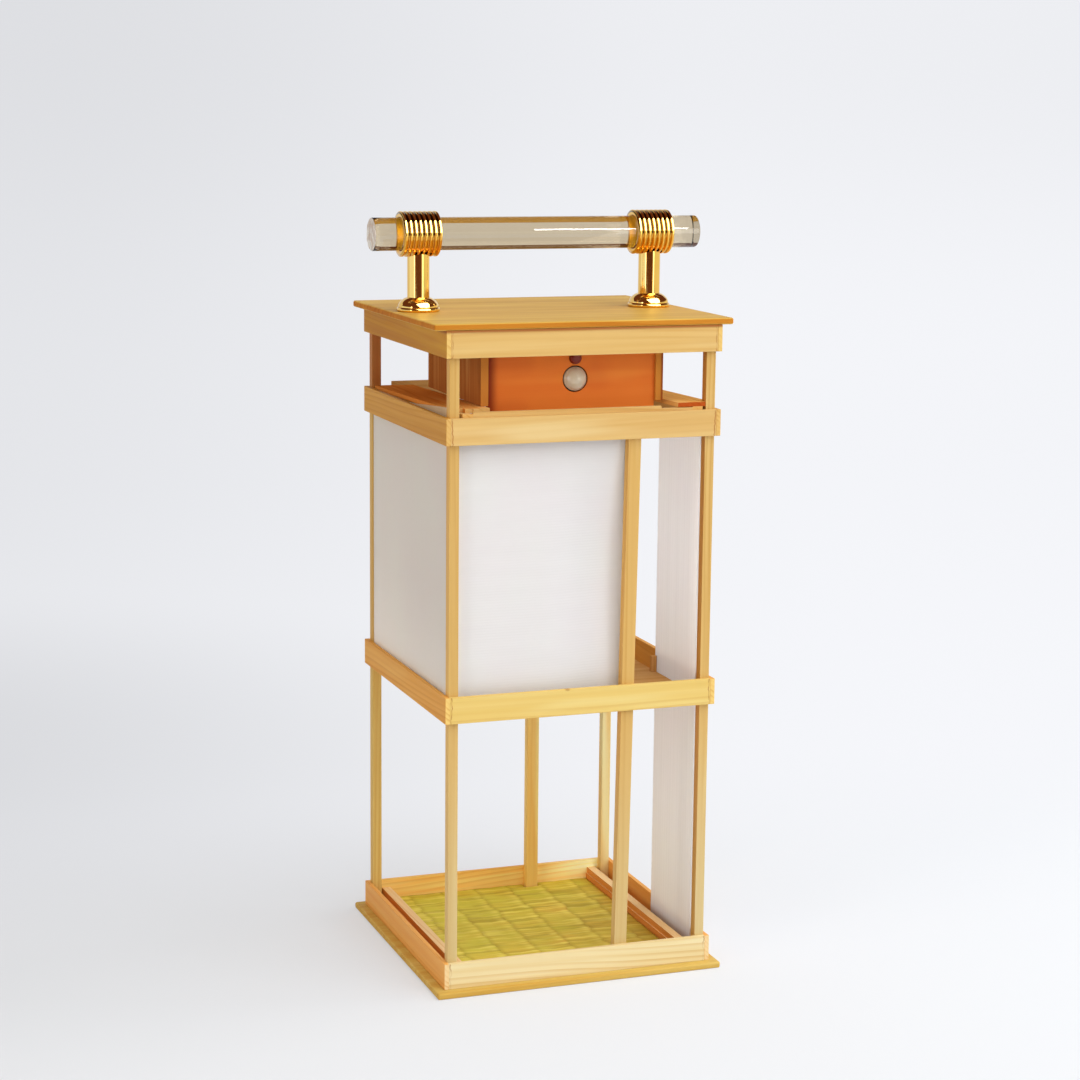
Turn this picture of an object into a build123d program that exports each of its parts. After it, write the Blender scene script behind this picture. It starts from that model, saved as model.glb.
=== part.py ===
"""Square paper-and-cypress lantern with a sensor light under its lid and a rod handle.

Millimetres, +Z up, +X to the right along the front, +Y to the back.
The origin is the centre of the base board's underside.
"""
import os
from math import radians, tan

from build123d import *

# ---- Driving dimensions -------------------------------------------------------------

# Rail frames, posts and boards
frame_size = 216.0          # outside of the rail frames, both ways
rail_thickness = 3.5
rail_height = 20.0
lower_bay_height = 185.0    # clear heights between the rail frames
paper_bay_height = 187.0
top_bay_height = 43.5
post_size = 7.5
board_thickness = 5.0       # base board and lid
base_overhang = 7.0
lid_side_overhang = 9.0
board_edge_radius = 1.5
edge_ease = 0.35            # broken edges of the small timber
slide_gap = 0.3             # clearance of anything that moves

# Stiles that divide the front and the back
stile_width = 10.0
stile_offset = 35.0         # stile centre to the right of the middle
front_stile_lean = 0.8      # degrees, its head leans to the right

# Inside strips, shelf and keepers
channel_width = 10.0        # between a side rail and the strip inside it
strip_width = 8.0
strip_height = 13.4
strip_step_depth = 1.0
strip_step_height = 8.5
shelf_thickness = 3.0
keeper_thickness = 3.2
upper_strip_rise = 2.4      # the upper strips' front ends stand this far above the upper rails
keeper_fall = 4.6           # the upper strips and the keepers on them fall this far to the back
left_keeper_lap = 2.9       # the left keeper reaches this far under the light box
right_keeper_gap = 4.0      # the right keeper ends this far short of it
keeper_corner_width = 12.3
keeper_corner_depth = 6.0
saw_step = 1.2              # rough saw cut on the left keeper's front end
cleat_thickness = 3.0
cleat_height = 12.0
cleat_rise = 3.7
cleat_length = 147.5        # of its full height
cleat_notch = 1.9           # the front one goes on this much lower, under the right keeper
stop_thickness = 4.5
stop_width = 4.0
stop_height = 13.0

# Paper panels and mat
paper_thickness = 1.6
side_panel_width = 80.0     # sliding panel on the right
side_panel_front_gap = 15.0
side_panel_top_rise = 1.0    # its top edge above the upper rails
left_panel_front_rise = 6.7  # its top edge slopes: above the upper rail at the front
left_panel_back_drop = 8.4   # and below it at the back
face_panel_lap = 8.0        # the front and back papers are glued this far onto the stiles
mat_thickness = 4.6
mat_gap = 0.3

# Rod handle
rod_diameter = 25.0
rod_end_length = 37.8       # of rod outside each stem's axis
rod_height = 58.2           # rod axis above the lid
rod_chamfer = 0.8
stem_inset = 13.9           # stem axis inside the frame's side, on average
handle_shift = 1.9          # the handle stands this far left of the middle of the lid
collar_shift = 0.55         # each collar's middle is this far left of its stem's axis
collar_length = 29.4
collar_diameter = 31.6      # at the root of the ribs
rib_radius = 1.35
rib_count = 8
rod_fit = 0.05
stem_diameter = 17.0
foot_diameter = 33.0
foot_rim_height = 3.0
foot_height = 9.5
foot_neck_wall = 1.6
handle_screw_diameter = 5.0
handle_screw_head_diameter = 9.0
handle_screw_head_height = 3.0
handle_screw_grip = 14.0    # length of screw inside the stem
screw_clearance = 0.15

# Sensor light box under the lid
box_width = 144.5
box_centre_x = -1.75
box_setback = 24.0          # front of the light box behind the frame's front
box_depth = 129.0
box_wall = 6.0
front_plate_thickness = 3.0
front_plate_reveal = 3.0
front_plate_drop = 5.5      # the front plate hangs this far below the side boards
back_plate_thickness = 3.0
floor_thickness = 3.0
sensor_x = 1.0
sensor_height = 18.0        # lens centre above the side boards' lower edge
lens_diameter = 18.0
lens_ring_gap = 0.9
lens_bulge = 5.5
lens_flange_overlap = 2.5
lens_flange_thickness = 1.5
sensor_web = 0.75           # wood left between the lens hole and the button hole
button_diameter = 9.3
button_proud = 3.0
button_flange_overlap = 1.2
button_flange_thickness = 1.5
button_travel = 1.5
window_length = 96.0        # light window in the floor of the box
window_width = 60.0
diffuser_lap = 6.0
diffuser_thickness = 2.0
led_columns = 4
led_rows = 2
led_pitch = 20.0
led_diameter = 5.0
led_height = 7.0
led_stand_off = 6.0         # LED tips above the diffuser
board_sheet = 1.6           # circuit board thickness
led_board_length = 90.0
led_board_width = 40.0
spacer_diameter = 6.0
sensor_board_width = 34.0
sensor_board_margin = 3.0   # board above the button
sensor_can_diameter = 9.0
switch_size = 6.0
cell_diameter = 14.2
cell_length = 50.0
cell_count = 3
holder_wall = 2.0
cell_gap = 0.4
small_screw_diameter = 3.0
small_screw_head_diameter = 6.0
small_screw_head_height = 1.8
small_screw_length = 12.0
small_screw_inset = 3.0

# ---- Derived places -----------------------------------------------------------------

half_frame = frame_size / 2
inner_face = half_frame - rail_thickness
post_inner = inner_face - post_size
base_rail_z = board_thickness
base_rail_top = base_rail_z + rail_height
mid_rail_z = base_rail_top + lower_bay_height
mid_rail_top = mid_rail_z + rail_height
upper_rail_z = mid_rail_top + paper_bay_height
upper_rail_top = upper_rail_z + rail_height
top_rail_z = upper_rail_top + top_bay_height
lid_z = top_rail_z + rail_height
lid_top = lid_z + board_thickness

strip_outer = inner_face - channel_width
strip_inner = strip_outer - strip_width
upper_strip_top = upper_rail_top + upper_strip_rise    # at the front
keeper_top = upper_strip_top + keeper_thickness
fall_slope = keeper_fall / (2 * inner_face)
shelf_top = mid_rail_z + shelf_thickness
mat_top = board_thickness + mat_thickness
cleat_top = upper_rail_top + cleat_rise
cleat_z = cleat_top - cleat_height
slot_inner = inner_face - paper_thickness - 2 * slide_gap   # inner side of a paper slot

stem_reach = half_frame - stem_inset
stem_places = {"left": -stem_reach - handle_shift, "right": stem_reach - handle_shift}
box_left = box_centre_x - box_width / 2
box_right = box_centre_x + box_width / 2
box_front_y = -half_frame + box_setback
box_back_y = box_front_y + box_depth
box_z = keeper_top - (box_front_y + inner_face) * fall_slope    # it rests on the left keeper
cavity_left = box_left + box_wall
cavity_right = box_right - box_wall
plate_front_y = box_front_y + front_plate_reveal
plate_back_y = plate_front_y + front_plate_thickness
cavity_back_y = box_back_y - back_plate_thickness
floor_top = box_z + floor_thickness
window_centre_y = (plate_back_y + cavity_back_y) / 2 + 8.0
lens_hole = lens_diameter / 2 + lens_ring_gap
button_hole = button_diameter / 2 + slide_gap
lens_centre_z = box_z + sensor_height
button_centre_z = lens_centre_z + lens_hole + sensor_web + button_hole

left_keeper_edge = box_left + left_keeper_lap
right_keeper_edge = box_right + right_keeper_gap

lean_slope = tan(radians(front_stile_lean))

parts = {}


# ---- Helpers ------------------------------------------------------------------------

def block(x_span, y_span, z_span):
    """Plain block between three pairs of limits."""
    size = [high - low for low, high in (x_span, y_span, z_span)]
    centre = [(high + low) / 2 for low, high in (x_span, y_span, z_span)]
    return Pos(*centre) * Box(*size)


def timber(x_span, y_span, z_span, ease=edge_ease):
    """Block of timber with all its edges lightly broken."""
    solid = block(x_span, y_span, z_span)
    thinnest = min(high - low for low, high in (x_span, y_span, z_span))
    return fillet(solid.edges(), min(ease, 0.4 * thinnest))


def mirrored_span(low, high, side):
    """The span on the left (side -1) or on the right (side 1)."""
    return (low, high) if side > 0 else (-high, -low)


def upright_prism(points, y_low, y_high):
    """Outline given as (x, z) points, extruded along Y."""
    outline = Polyline(*[(x, y_low, z) for x, z in points], close=True)
    return extrude(make_face(outline), amount=y_high - y_low, dir=(0, 1, 0))


def side_prism(points, x_low, x_high):
    """Outline given as (y, z) points, extruded along X."""
    outline = Polyline(*[(x_low, y, z) for y, z in points], close=True)
    return extrude(make_face(outline), amount=x_high - x_low, dir=(1, 0, 0))


def rod_along(axis, radius, start, end, across=0.0, up=0.0):
    """Round bar along X, Y or Z; across and up place its axis."""
    middle = (start + end) / 2
    length = end - start
    if axis == "X":
        return Pos(middle, across, up) * Rot(0, 90, 0) * Cylinder(radius, length)
    if axis == "Y":
        return Pos(across, middle, up) * Rot(90, 0, 0) * Cylinder(radius, length)
    return Pos(across, up, middle) * Cylinder(radius, length)


def fallen(front_z, y):
    """Height at y of a line that starts at front_z in front and falls to the back."""
    return front_z - (y + inner_face) * fall_slope


def front_stile_centre(z):
    """X of the leaning front stile's centre line at height z."""
    return stile_offset + (z - base_rail_top) * lean_slope


# ---- Boards, rails, posts and stiles ------------------------------------------------

def build_boards():
    base_half = half_frame + base_overhang
    base_span = (-base_half, base_half)
    parts["base_board"] = timber(base_span, base_span, (0, board_thickness), board_edge_radius)

    lid_half = half_frame + lid_side_overhang
    lid = timber((-lid_half, lid_half), (-half_frame, half_frame), (lid_z, lid_top), board_edge_radius)
    for x in stem_places.values():
        radius = handle_screw_diameter / 2 + screw_clearance
        lid -= rod_along("Z", radius, lid_z - 1, lid_top + 1, x, 0)
    parts["lid_board"] = lid


def build_rails():
    levels = {"base": base_rail_z, "mid": mid_rail_z, "upper": upper_rail_z, "top": top_rail_z}
    for name, z in levels.items():
        z_span = (z, z + rail_height)
        outer = (inner_face, half_frame)
        across = (-inner_face, inner_face)
        along = (-half_frame, half_frame)
        parts[f"{name}_rail_front"] = timber(across, mirrored_span(*outer, -1), z_span)
        parts[f"{name}_rail_back"] = timber(across, mirrored_span(*outer, 1), z_span)
        parts[f"{name}_rail_left"] = timber(mirrored_span(*outer, -1), along, z_span)
        parts[f"{name}_rail_right"] = timber(mirrored_span(*outer, 1), along, z_span)


def build_posts():
    z_span = (board_thickness, lid_z)
    for end, y_side in (("front", -1), ("back", 1)):
        for hand, x_side in (("left", -1), ("right", 1)):
            x_span = mirrored_span(post_inner, inner_face, x_side)
            y_span = mirrored_span(post_inner, inner_face, y_side)
            parts[f"post_{end}_{hand}"] = timber(x_span, y_span, z_span)


def stile_outline(centre_at, low, high, grow=0.0):
    """Corners of a stile as (x, z), from low to high, widened by grow."""
    half = stile_width / 2 + grow
    return [
        (centre_at(low) - half, low),
        (centre_at(low) + half, low),
        (centre_at(high) + half, high),
        (centre_at(high) - half, high),
    ]


def build_stiles():
    front = upright_prism(
        stile_outline(front_stile_centre, board_thickness, cleat_z), -inner_face, -post_inner
    )
    parts["stile_front"] = fillet(front.edges(), edge_ease)
    back = upright_prism(
        stile_outline(lambda z: stile_offset, board_thickness, cleat_z), post_inner, inner_face
    )
    parts["stile_back"] = fillet(back.edges(), edge_ease)


# ---- Inside strips, shelf, keepers and mat ------------------------------------------

def corner_and_stile_cuts(low, high, grow):
    """Space taken by the posts and the stiles between two heights."""
    cuts = []
    for x_side in (-1, 1):
        for y_side in (-1, 1):
            cuts.append(block(
                mirrored_span(post_inner - grow, inner_face + 1, x_side),
                mirrored_span(post_inner - grow, inner_face + 1, y_side),
                (low - 1, high + 1),
            ))
    front = stile_outline(front_stile_centre, low - 1, high + 1, grow)
    cuts.append(upright_prism(front, -inner_face - 1, -post_inner + grow))
    back = stile_outline(lambda z: stile_offset, low - 1, high + 1, grow)
    cuts.append(upright_prism(back, post_inner - grow, inner_face + 1))
    return cuts


def build_strips():
    """Strips beside the side rails: a bead along the inner foot of the lower ones."""
    strip_top = board_thickness + strip_height
    base_strip = block(
        (strip_inner, strip_outer), (-inner_face, inner_face), (board_thickness, strip_top)
    )
    base_strip = fillet(base_strip.edges().filter_by(Axis.Y), edge_ease)
    base_strip -= block(
        (strip_inner - 1, strip_inner + strip_step_depth),
        (-half_frame, half_frame),
        (board_thickness + strip_step_height, strip_top + 1),
    )
    upper_strip = side_prism(
        [
            (-inner_face, upper_strip_top - strip_height),
            (inner_face, upper_strip_top - strip_height),
            (inner_face, fallen(upper_strip_top, inner_face)),
            (-inner_face, upper_strip_top),
        ],
        strip_inner, strip_outer,
    )
    parts["base_strip_right"] = base_strip
    parts["base_strip_left"] = mirror(base_strip, Plane.YZ)
    parts["upper_strips"] = Compound(children=[upper_strip, mirror(upper_strip, Plane.YZ)])


def build_shelf():
    shelf = block(
        (-inner_face, slot_inner), (-inner_face, inner_face), (mid_rail_z, shelf_top)
    )
    for cut in corner_and_stile_cuts(mid_rail_z, shelf_top, mat_gap):
        shelf -= cut
    parts["mid_shelf"] = shelf

    panel_back = -post_inner + side_panel_front_gap + side_panel_width
    parts["panel_stop"] = timber(
        (slot_inner - stop_thickness, slot_inner),
        (panel_back - stop_width, panel_back),
        (shelf_top, shelf_top + stop_height),
    )


def keeper_board(x_low, x_high, y_low, y_high):
    """Board that lies on the falling tops of the upper strips."""
    outline = [
        (y_low, fallen(upper_strip_top, y_low)),
        (y_high, fallen(upper_strip_top, y_high)),
        (y_high, fallen(keeper_top, y_high)),
        (y_low, fallen(keeper_top, y_low)),
    ]
    return side_prism(outline, x_low, x_high)


def build_keepers():
    """Boards that close the paper slots at the top of the upper rails."""
    z_span = (upper_strip_top - keeper_fall - 1, keeper_top + 1)
    front_end = -post_inner
    left = keeper_board(-slot_inner, left_keeper_edge, front_end, post_inner - slide_gap)
    corner_x = (-slot_inner - 1, -slot_inner + keeper_corner_width)
    left -= block(corner_x, (front_end - 1, front_end + keeper_corner_depth), z_span)
    saw_start = -slot_inner + keeper_corner_width
    third = (left_keeper_edge - saw_start) / 3
    saw_cut = Polyline(
        (saw_start - 1, front_end - 1, z_span[0]),
        (saw_start - 1, front_end + 0.5 * saw_step, z_span[0]),
        (saw_start + third, front_end + saw_step, z_span[0]),
        (saw_start + third, front_end + 0.3 * saw_step, z_span[0]),
        (saw_start + 2 * third, front_end + saw_step, z_span[0]),
        (left_keeper_edge + 1, front_end + 0.4 * saw_step, z_span[0]),
        (left_keeper_edge + 1, front_end - 1, z_span[0]),
        close=True,
    )
    left -= extrude(make_face(saw_cut), amount=z_span[1] - z_span[0], dir=(0, 0, 1))
    parts["keeper_left"] = left

    right = keeper_board(right_keeper_edge, slot_inner, -inner_face, inner_face)
    for y_side in (-1, 1):
        right -= block(
            (post_inner - slide_gap, inner_face),
            mirrored_span(post_inner - slide_gap, half_frame, y_side),
            z_span,
        )
    parts["keeper_right"] = right


def build_cleats():
    """Thin cleats inside the upper front and back rails, over the stiles' heads."""
    full_end = -strip_inner + cleat_length
    notch_z = cleat_top - cleat_notch
    front = upright_prism(
        [
            (-strip_inner, cleat_z), (strip_inner, cleat_z), (strip_inner, notch_z),
            (full_end, notch_z), (full_end, cleat_top), (-strip_inner, cleat_top),
        ],
        -inner_face, -inner_face + cleat_thickness,
    )
    back = timber(
        (-strip_inner, full_end),
        (inner_face - cleat_thickness, inner_face),
        (cleat_z, cleat_top),
    )
    parts["cleats"] = Compound(children=[front, back])


def build_mat():
    mat_half_x = strip_inner - mat_gap
    mat_half_y = inner_face - mat_gap
    mat = block((-mat_half_x, mat_half_x), (-mat_half_y, mat_half_y), (board_thickness, mat_top))
    for cut in corner_and_stile_cuts(board_thickness, mat_top, mat_gap):
        mat -= cut
    parts["tatami_mat"] = mat


# ---- Paper panels -------------------------------------------------------------------

def build_panels():
    outer = inner_face - slide_gap
    slot = (outer - paper_thickness, outer)
    half_width = post_inner - slide_gap

    back_edge = -post_inner + side_panel_front_gap + side_panel_width
    parts["panel_right"] = block(
        slot,
        (back_edge - side_panel_width, back_edge),
        (board_thickness + slide_gap, upper_rail_top + side_panel_top_rise),
    )

    low = shelf_top + slide_gap
    front_top = upper_rail_top + left_panel_front_rise
    back_top = upper_rail_top - left_panel_back_drop
    outline = Polyline(
        (-outer, -half_width, low),
        (-outer, half_width, low),
        (-outer, half_width, back_top),
        (-outer, -half_width, front_top),
        close=True,
    )
    parts["panel_left"] = extrude(make_face(outline), amount=paper_thickness, dir=(1, 0, 0))

    top = upper_strip_top - strip_height
    left_edge = -slot_inner + slide_gap
    for name, side, centre_at in (
        ("front", -1, front_stile_centre),
        ("back", 1, lambda z: stile_offset),
    ):
        lap = face_panel_lap - stile_width / 2
        points = [
            (left_edge, shelf_top),
            (centre_at(shelf_top) + lap, shelf_top),
            (centre_at(top) + lap, top),
            (left_edge, top),
        ]
        y_low, y_high = mirrored_span(post_inner - paper_thickness, post_inner, side)
        parts[f"panel_{name}"] = upright_prism(points, y_low, y_high)


# ---- Rod handle ---------------------------------------------------------------------

def build_handle():
    axis_z = lid_top + rod_height
    rod_radius = rod_diameter / 2
    half_rod = stem_reach + rod_end_length
    rod = rod_along("X", rod_radius, -handle_shift - half_rod, -handle_shift + half_rod, 0, axis_z)
    parts["handle_rod"] = chamfer(rod.edges().filter_by(GeomType.CIRCLE), rod_chamfer)

    stem_radius = stem_diameter / 2
    screw_radius = handle_screw_diameter / 2
    crest = collar_diameter / 2 + rib_radius
    collars = []
    feet = []
    screws = []
    for hand, x in stem_places.items():
        collars.append(build_collar(x - collar_shift, axis_z))
        feet.append(build_foot(x, stem_radius + rod_fit))

        stem = rod_along("Z", stem_radius, lid_top, axis_z, x, 0)
        stem -= rod_along("X", crest, x - collar_length, x + collar_length, 0, axis_z)
        stem -= rod_along(
            "Z", screw_radius + screw_clearance / 3, lid_top - 1,
            lid_top + handle_screw_grip + 1, x, 0,
        )
        parts[f"handle_stem_{hand}"] = stem

        shank = rod_along("Z", screw_radius, lid_z - 0.1, lid_top + handle_screw_grip, x, 0)
        head = rod_along(
            "Z", handle_screw_head_diameter / 2, lid_z - handle_screw_head_height, lid_z, x, 0
        )
        head = fillet(head.edges().sort_by(Axis.Z)[0], handle_screw_head_height / 3)
        screws.append(shank + head)
    parts["handle_collars"] = Compound(children=collars)
    parts["handle_feet"] = Compound(children=feet)
    parts["handle_screws"] = Compound(children=screws)


def build_collar(x, axis_z):
    """Ribbed sleeve that clamps the rod."""
    root = collar_diameter / 2
    body = Cylinder(root, collar_length)
    body = fillet(body.edges().filter_by(GeomType.CIRCLE), rib_radius / 2)
    pitch = (collar_length - 2 * rib_radius) / (rib_count - 1)
    for index in range(rib_count):
        offset = (index - (rib_count - 1) / 2) * pitch
        body += Pos(0, 0, offset) * Torus(root, min(rib_radius, 0.46 * pitch))
    body -= Cylinder(rod_diameter / 2 + rod_fit, collar_length + 4 * rib_radius)
    return Pos(x, 0, axis_z) * Rot(0, 90, 0) * body


def build_foot(x, bore_radius):
    """Turned rosette round the stem: a rim disc with a bell above it."""
    rim = foot_diameter / 2
    neck = bore_radius + foot_neck_wall
    shoulder = foot_rim_height + 0.25 * (foot_height - foot_rim_height)
    profile = Line((bore_radius, 0), (rim - 0.6, 0))
    profile += ThreePointArc((rim - 0.6, 0), (rim, foot_rim_height / 2), (rim - 0.6, foot_rim_height))
    profile += Line((rim - 0.6, foot_rim_height), (rim - 2.0, foot_rim_height))
    profile += ThreePointArc(
        (rim - 2.0, foot_rim_height),
        ((rim - 2.0 + neck) / 2 + 0.3, (shoulder + foot_height) / 2),
        (neck, foot_height),
    )
    profile += Line((neck, foot_height), (bore_radius, foot_height))
    profile += Line((bore_radius, foot_height), (bore_radius, 0))
    face = Plane.XZ * make_face(profile)
    return Pos(x, 0, lid_top) * revolve(face, Axis.Z)


# ---- Sensor light box ---------------------------------------------------------------

def build_light_box():
    y_span = (box_front_y, box_back_y)
    z_span = (box_z, lid_z)
    parts["box_side_left"] = timber((box_left, cavity_left), y_span, z_span)
    parts["box_side_right"] = timber((cavity_right, box_right), y_span, z_span)

    cavity_x = (cavity_left, cavity_right)
    front = block(cavity_x, (plate_front_y, plate_back_y), (box_z - front_plate_drop, lid_z))
    hole_ends = (plate_front_y - 1, plate_back_y + 1)
    front -= rod_along("Y", lens_hole, *hole_ends, sensor_x, lens_centre_z)
    front -= rod_along("Y", button_hole, *hole_ends, sensor_x, button_centre_z)
    parts["box_front_plate"] = front

    floor = block(cavity_x, (plate_back_y, cavity_back_y), (box_z, floor_top))
    half_window = window_width / 2
    window = (window_centre_y - half_window, window_centre_y + half_window)
    window_x = (box_centre_x - window_length / 2, box_centre_x + window_length / 2)
    floor -= block(window_x, window, (box_z - 1, floor_top + 1))
    parts["box_floor"] = floor

    back = block(cavity_x, (cavity_back_y, box_back_y), z_span)
    screws = []
    for side in (-1, 1):
        x = box_centre_x + side * (box_width / 2 - box_wall - small_screw_inset)
        z = (box_z + lid_z) / 2
        cleared = small_screw_diameter / 2 + screw_clearance
        back -= rod_along("Y", cleared, cavity_back_y - 1, box_back_y + 1, x, z)
        shank = rod_along(
            "Y", small_screw_diameter / 2, box_back_y - small_screw_length, box_back_y + 0.1, x, z
        )
        head = rod_along(
            "Y", small_screw_head_diameter / 2, box_back_y,
            box_back_y + small_screw_head_height, x, z,
        )
        head = fillet(head.edges().sort_by(Axis.Y)[-1], small_screw_head_height / 3)
        screws.append(shank + head)
    parts["box_back_plate"] = back
    parts["back_plate_screws"] = Compound(children=screws)
    build_back_blocks()


def build_back_blocks():
    """Corner blocks inside the box that the back plate's screws bite into."""
    blocks = []
    depth = small_screw_length
    for side in (-1, 1):
        wall = cavity_left if side < 0 else cavity_right
        width = 2 * small_screw_inset
        x_span = (wall, wall + width) if side < 0 else (wall - width, wall)
        solid = block(x_span, (cavity_back_y - depth, cavity_back_y), (floor_top, lid_z))
        x = box_centre_x + side * (box_width / 2 - box_wall - small_screw_inset)
        bore = small_screw_diameter / 2 + screw_clearance / 3
        solid -= rod_along(
            "Y", bore, box_back_y - small_screw_length - 1, cavity_back_y + 1,
            x, (box_z + lid_z) / 2,
        )
        blocks.append(solid)
    parts["box_corner_blocks"] = Compound(children=blocks)


def build_sensor():
    flange_radius = button_hole + button_flange_overlap
    build_lens(button_centre_z - flange_radius - slide_gap)

    cap_y = plate_front_y - button_proud
    flange_y = plate_back_y + slide_gap
    flange_end = flange_y + button_flange_thickness
    button_radius = button_diameter / 2
    button = rod_along("Y", button_radius, cap_y, flange_y, sensor_x, button_centre_z)
    crown = 0.8 * min(button_proud, button_radius)
    button = fillet(button.edges().sort_by(Axis.Y)[0], crown)
    button += rod_along("Y", flange_radius, flange_y, flange_end, sensor_x, button_centre_z)
    parts["mode_button"] = button

    switch_y = flange_end + button_travel + slide_gap
    board_y = switch_y + board_sheet
    half_switch = switch_size / 2
    board = block(
        (sensor_x - sensor_board_width / 2, sensor_x + sensor_board_width / 2),
        (board_y, board_y + board_sheet),
        (floor_top, button_centre_z + button_radius + sensor_board_margin),
    )
    board += block(
        (sensor_x - half_switch, sensor_x + half_switch),
        (switch_y, board_y),
        (button_centre_z - half_switch, button_centre_z + half_switch),
    )
    can_y = plate_back_y + lens_flange_thickness
    board += rod_along("Y", sensor_can_diameter / 2, can_y, board_y, sensor_x, lens_centre_z)
    parts["sensor_board"] = board


def build_lens(flange_limit_z):
    """Domed lens with a flange behind the plate, cut flat under the button."""
    lens_radius = lens_diameter / 2
    ball = (lens_radius ** 2 + lens_bulge ** 2) / (2 * lens_bulge)
    tip_y = plate_front_y - lens_bulge
    flange_end = plate_back_y + lens_flange_thickness
    dome = Pos(sensor_x, tip_y + ball, lens_centre_z) * Sphere(ball)
    dome &= rod_along("Y", lens_radius, tip_y - 1, plate_front_y, sensor_x, lens_centre_z)
    barrel = rod_along("Y", lens_radius, plate_front_y, flange_end, sensor_x, lens_centre_z)
    flange_radius = lens_hole + lens_flange_overlap
    flange = rod_along("Y", flange_radius, plate_back_y, flange_end, sensor_x, lens_centre_z)
    half_flat = flange_limit_z - lens_centre_z
    flange &= block(
        (sensor_x - flange_radius, sensor_x + flange_radius),
        (plate_back_y, flange_end),
        (lens_centre_z - half_flat, lens_centre_z + half_flat),
    )
    parts["sensor_lens"] = dome + barrel + flange


def build_light():
    lap_x = window_length / 2 + diffuser_lap
    lap_y = window_width / 2 + diffuser_lap
    diffuser_z = (floor_top, floor_top + diffuser_thickness)
    parts["light_diffuser"] = block(
        (box_centre_x - lap_x, box_centre_x + lap_x),
        (window_centre_y - lap_y, window_centre_y + lap_y),
        diffuser_z,
    )
    board_z = diffuser_z[1] + led_stand_off + led_height
    half_length = led_board_length / 2
    half_width = led_board_width / 2
    parts["led_board"] = block(
        (box_centre_x - half_length, box_centre_x + half_length),
        (window_centre_y - half_width, window_centre_y + half_width),
        (board_z, board_z + board_sheet),
    )
    leds = []
    for column in range(led_columns):
        for row in range(led_rows):
            x = box_centre_x + (column - (led_columns - 1) / 2) * led_pitch
            y = window_centre_y + (row - (led_rows - 1) / 2) * led_pitch
            lamp = rod_along("Z", led_diameter / 2, board_z - led_height, board_z, x, y)
            lamp = fillet(lamp.edges().sort_by(Axis.Z)[0], led_diameter * 0.4)
            leds.append(lamp)
    parts["leds"] = Compound(children=leds)

    spacers = []
    for x_side in (-1, 1):
        for y_side in (-1, 1):
            x = box_centre_x + x_side * (half_length - spacer_diameter / 2)
            y = window_centre_y + y_side * (half_width - spacer_diameter / 2)
            spacers.append(rod_along("Z", spacer_diameter / 2, diffuser_z[1], board_z, x, y))
    parts["led_spacers"] = Compound(children=spacers)
    return board_z + board_sheet


def build_battery(support_z):
    """Three cells side by side in a tray that stands on the LED board."""
    pitch = cell_diameter + 2 * cell_gap
    tray_width = cell_count * pitch + 2 * holder_wall
    tray_length = cell_length + 2 * cell_gap + 2 * holder_wall
    x_low = box_centre_x - tray_length / 2
    y_low = window_centre_y - tray_width / 2
    tray_z = (support_z, support_z + holder_wall + cell_diameter * 0.75)
    tray = block((x_low, x_low + tray_length), (y_low, y_low + tray_width), tray_z)
    tray -= block(
        (x_low + holder_wall, x_low + tray_length - holder_wall),
        (y_low + holder_wall, y_low + tray_width - holder_wall),
        (support_z + holder_wall, tray_z[1] + 1),
    )
    parts["battery_holder"] = tray
    cells = []
    for index in range(cell_count):
        y = y_low + holder_wall + (index + 0.5) * pitch
        z = support_z + holder_wall + cell_diameter / 2
        x_start = box_centre_x - cell_length / 2
        cells.append(rod_along("X", cell_diameter / 2, x_start, x_start + cell_length, y, z))
    parts["battery_cells"] = Compound(children=cells)


# ---- Assembly -----------------------------------------------------------------------

build_boards()
build_rails()
build_posts()
build_stiles()
build_strips()
build_shelf()
build_keepers()
build_cleats()
build_mat()
build_panels()
build_handle()
build_light_box()
build_sensor()
build_battery(build_light())

os.makedirs("parts", exist_ok=True)
for name, shape in parts.items():
    export_step(shape, f"parts/{name}.step")
print(len(parts), "nodes")
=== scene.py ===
import math

import bpy
import bmesh
from mathutils import Matrix, Vector, noise


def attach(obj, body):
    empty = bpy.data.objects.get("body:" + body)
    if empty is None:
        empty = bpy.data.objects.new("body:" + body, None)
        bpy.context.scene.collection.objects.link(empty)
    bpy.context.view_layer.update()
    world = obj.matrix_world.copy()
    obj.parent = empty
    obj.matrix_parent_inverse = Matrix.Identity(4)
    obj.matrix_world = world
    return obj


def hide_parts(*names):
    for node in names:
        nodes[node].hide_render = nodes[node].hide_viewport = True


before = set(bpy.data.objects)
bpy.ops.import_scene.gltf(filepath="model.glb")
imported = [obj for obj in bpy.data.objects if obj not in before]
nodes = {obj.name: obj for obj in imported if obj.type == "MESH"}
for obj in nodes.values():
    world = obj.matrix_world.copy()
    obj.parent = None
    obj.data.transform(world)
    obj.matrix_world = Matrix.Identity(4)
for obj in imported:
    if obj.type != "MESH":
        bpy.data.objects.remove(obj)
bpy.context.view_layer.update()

mm = 0.001


class Wire:
    # one socket, which takes part in sums as a number does
    def __init__(self, bench, socket):
        self.bench = bench
        self.socket = socket

    def __add__(self, other):
        return self.bench.sums("ADD", self, other)

    def __radd__(self, other):
        return self.bench.sums("ADD", other, self)

    def __sub__(self, other):
        return self.bench.sums("SUBTRACT", self, other)

    def __rsub__(self, other):
        return self.bench.sums("SUBTRACT", other, self)

    def __mul__(self, other):
        return self.bench.sums("MULTIPLY", self, other)

    def __rmul__(self, other):
        return self.bench.sums("MULTIPLY", other, self)


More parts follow.
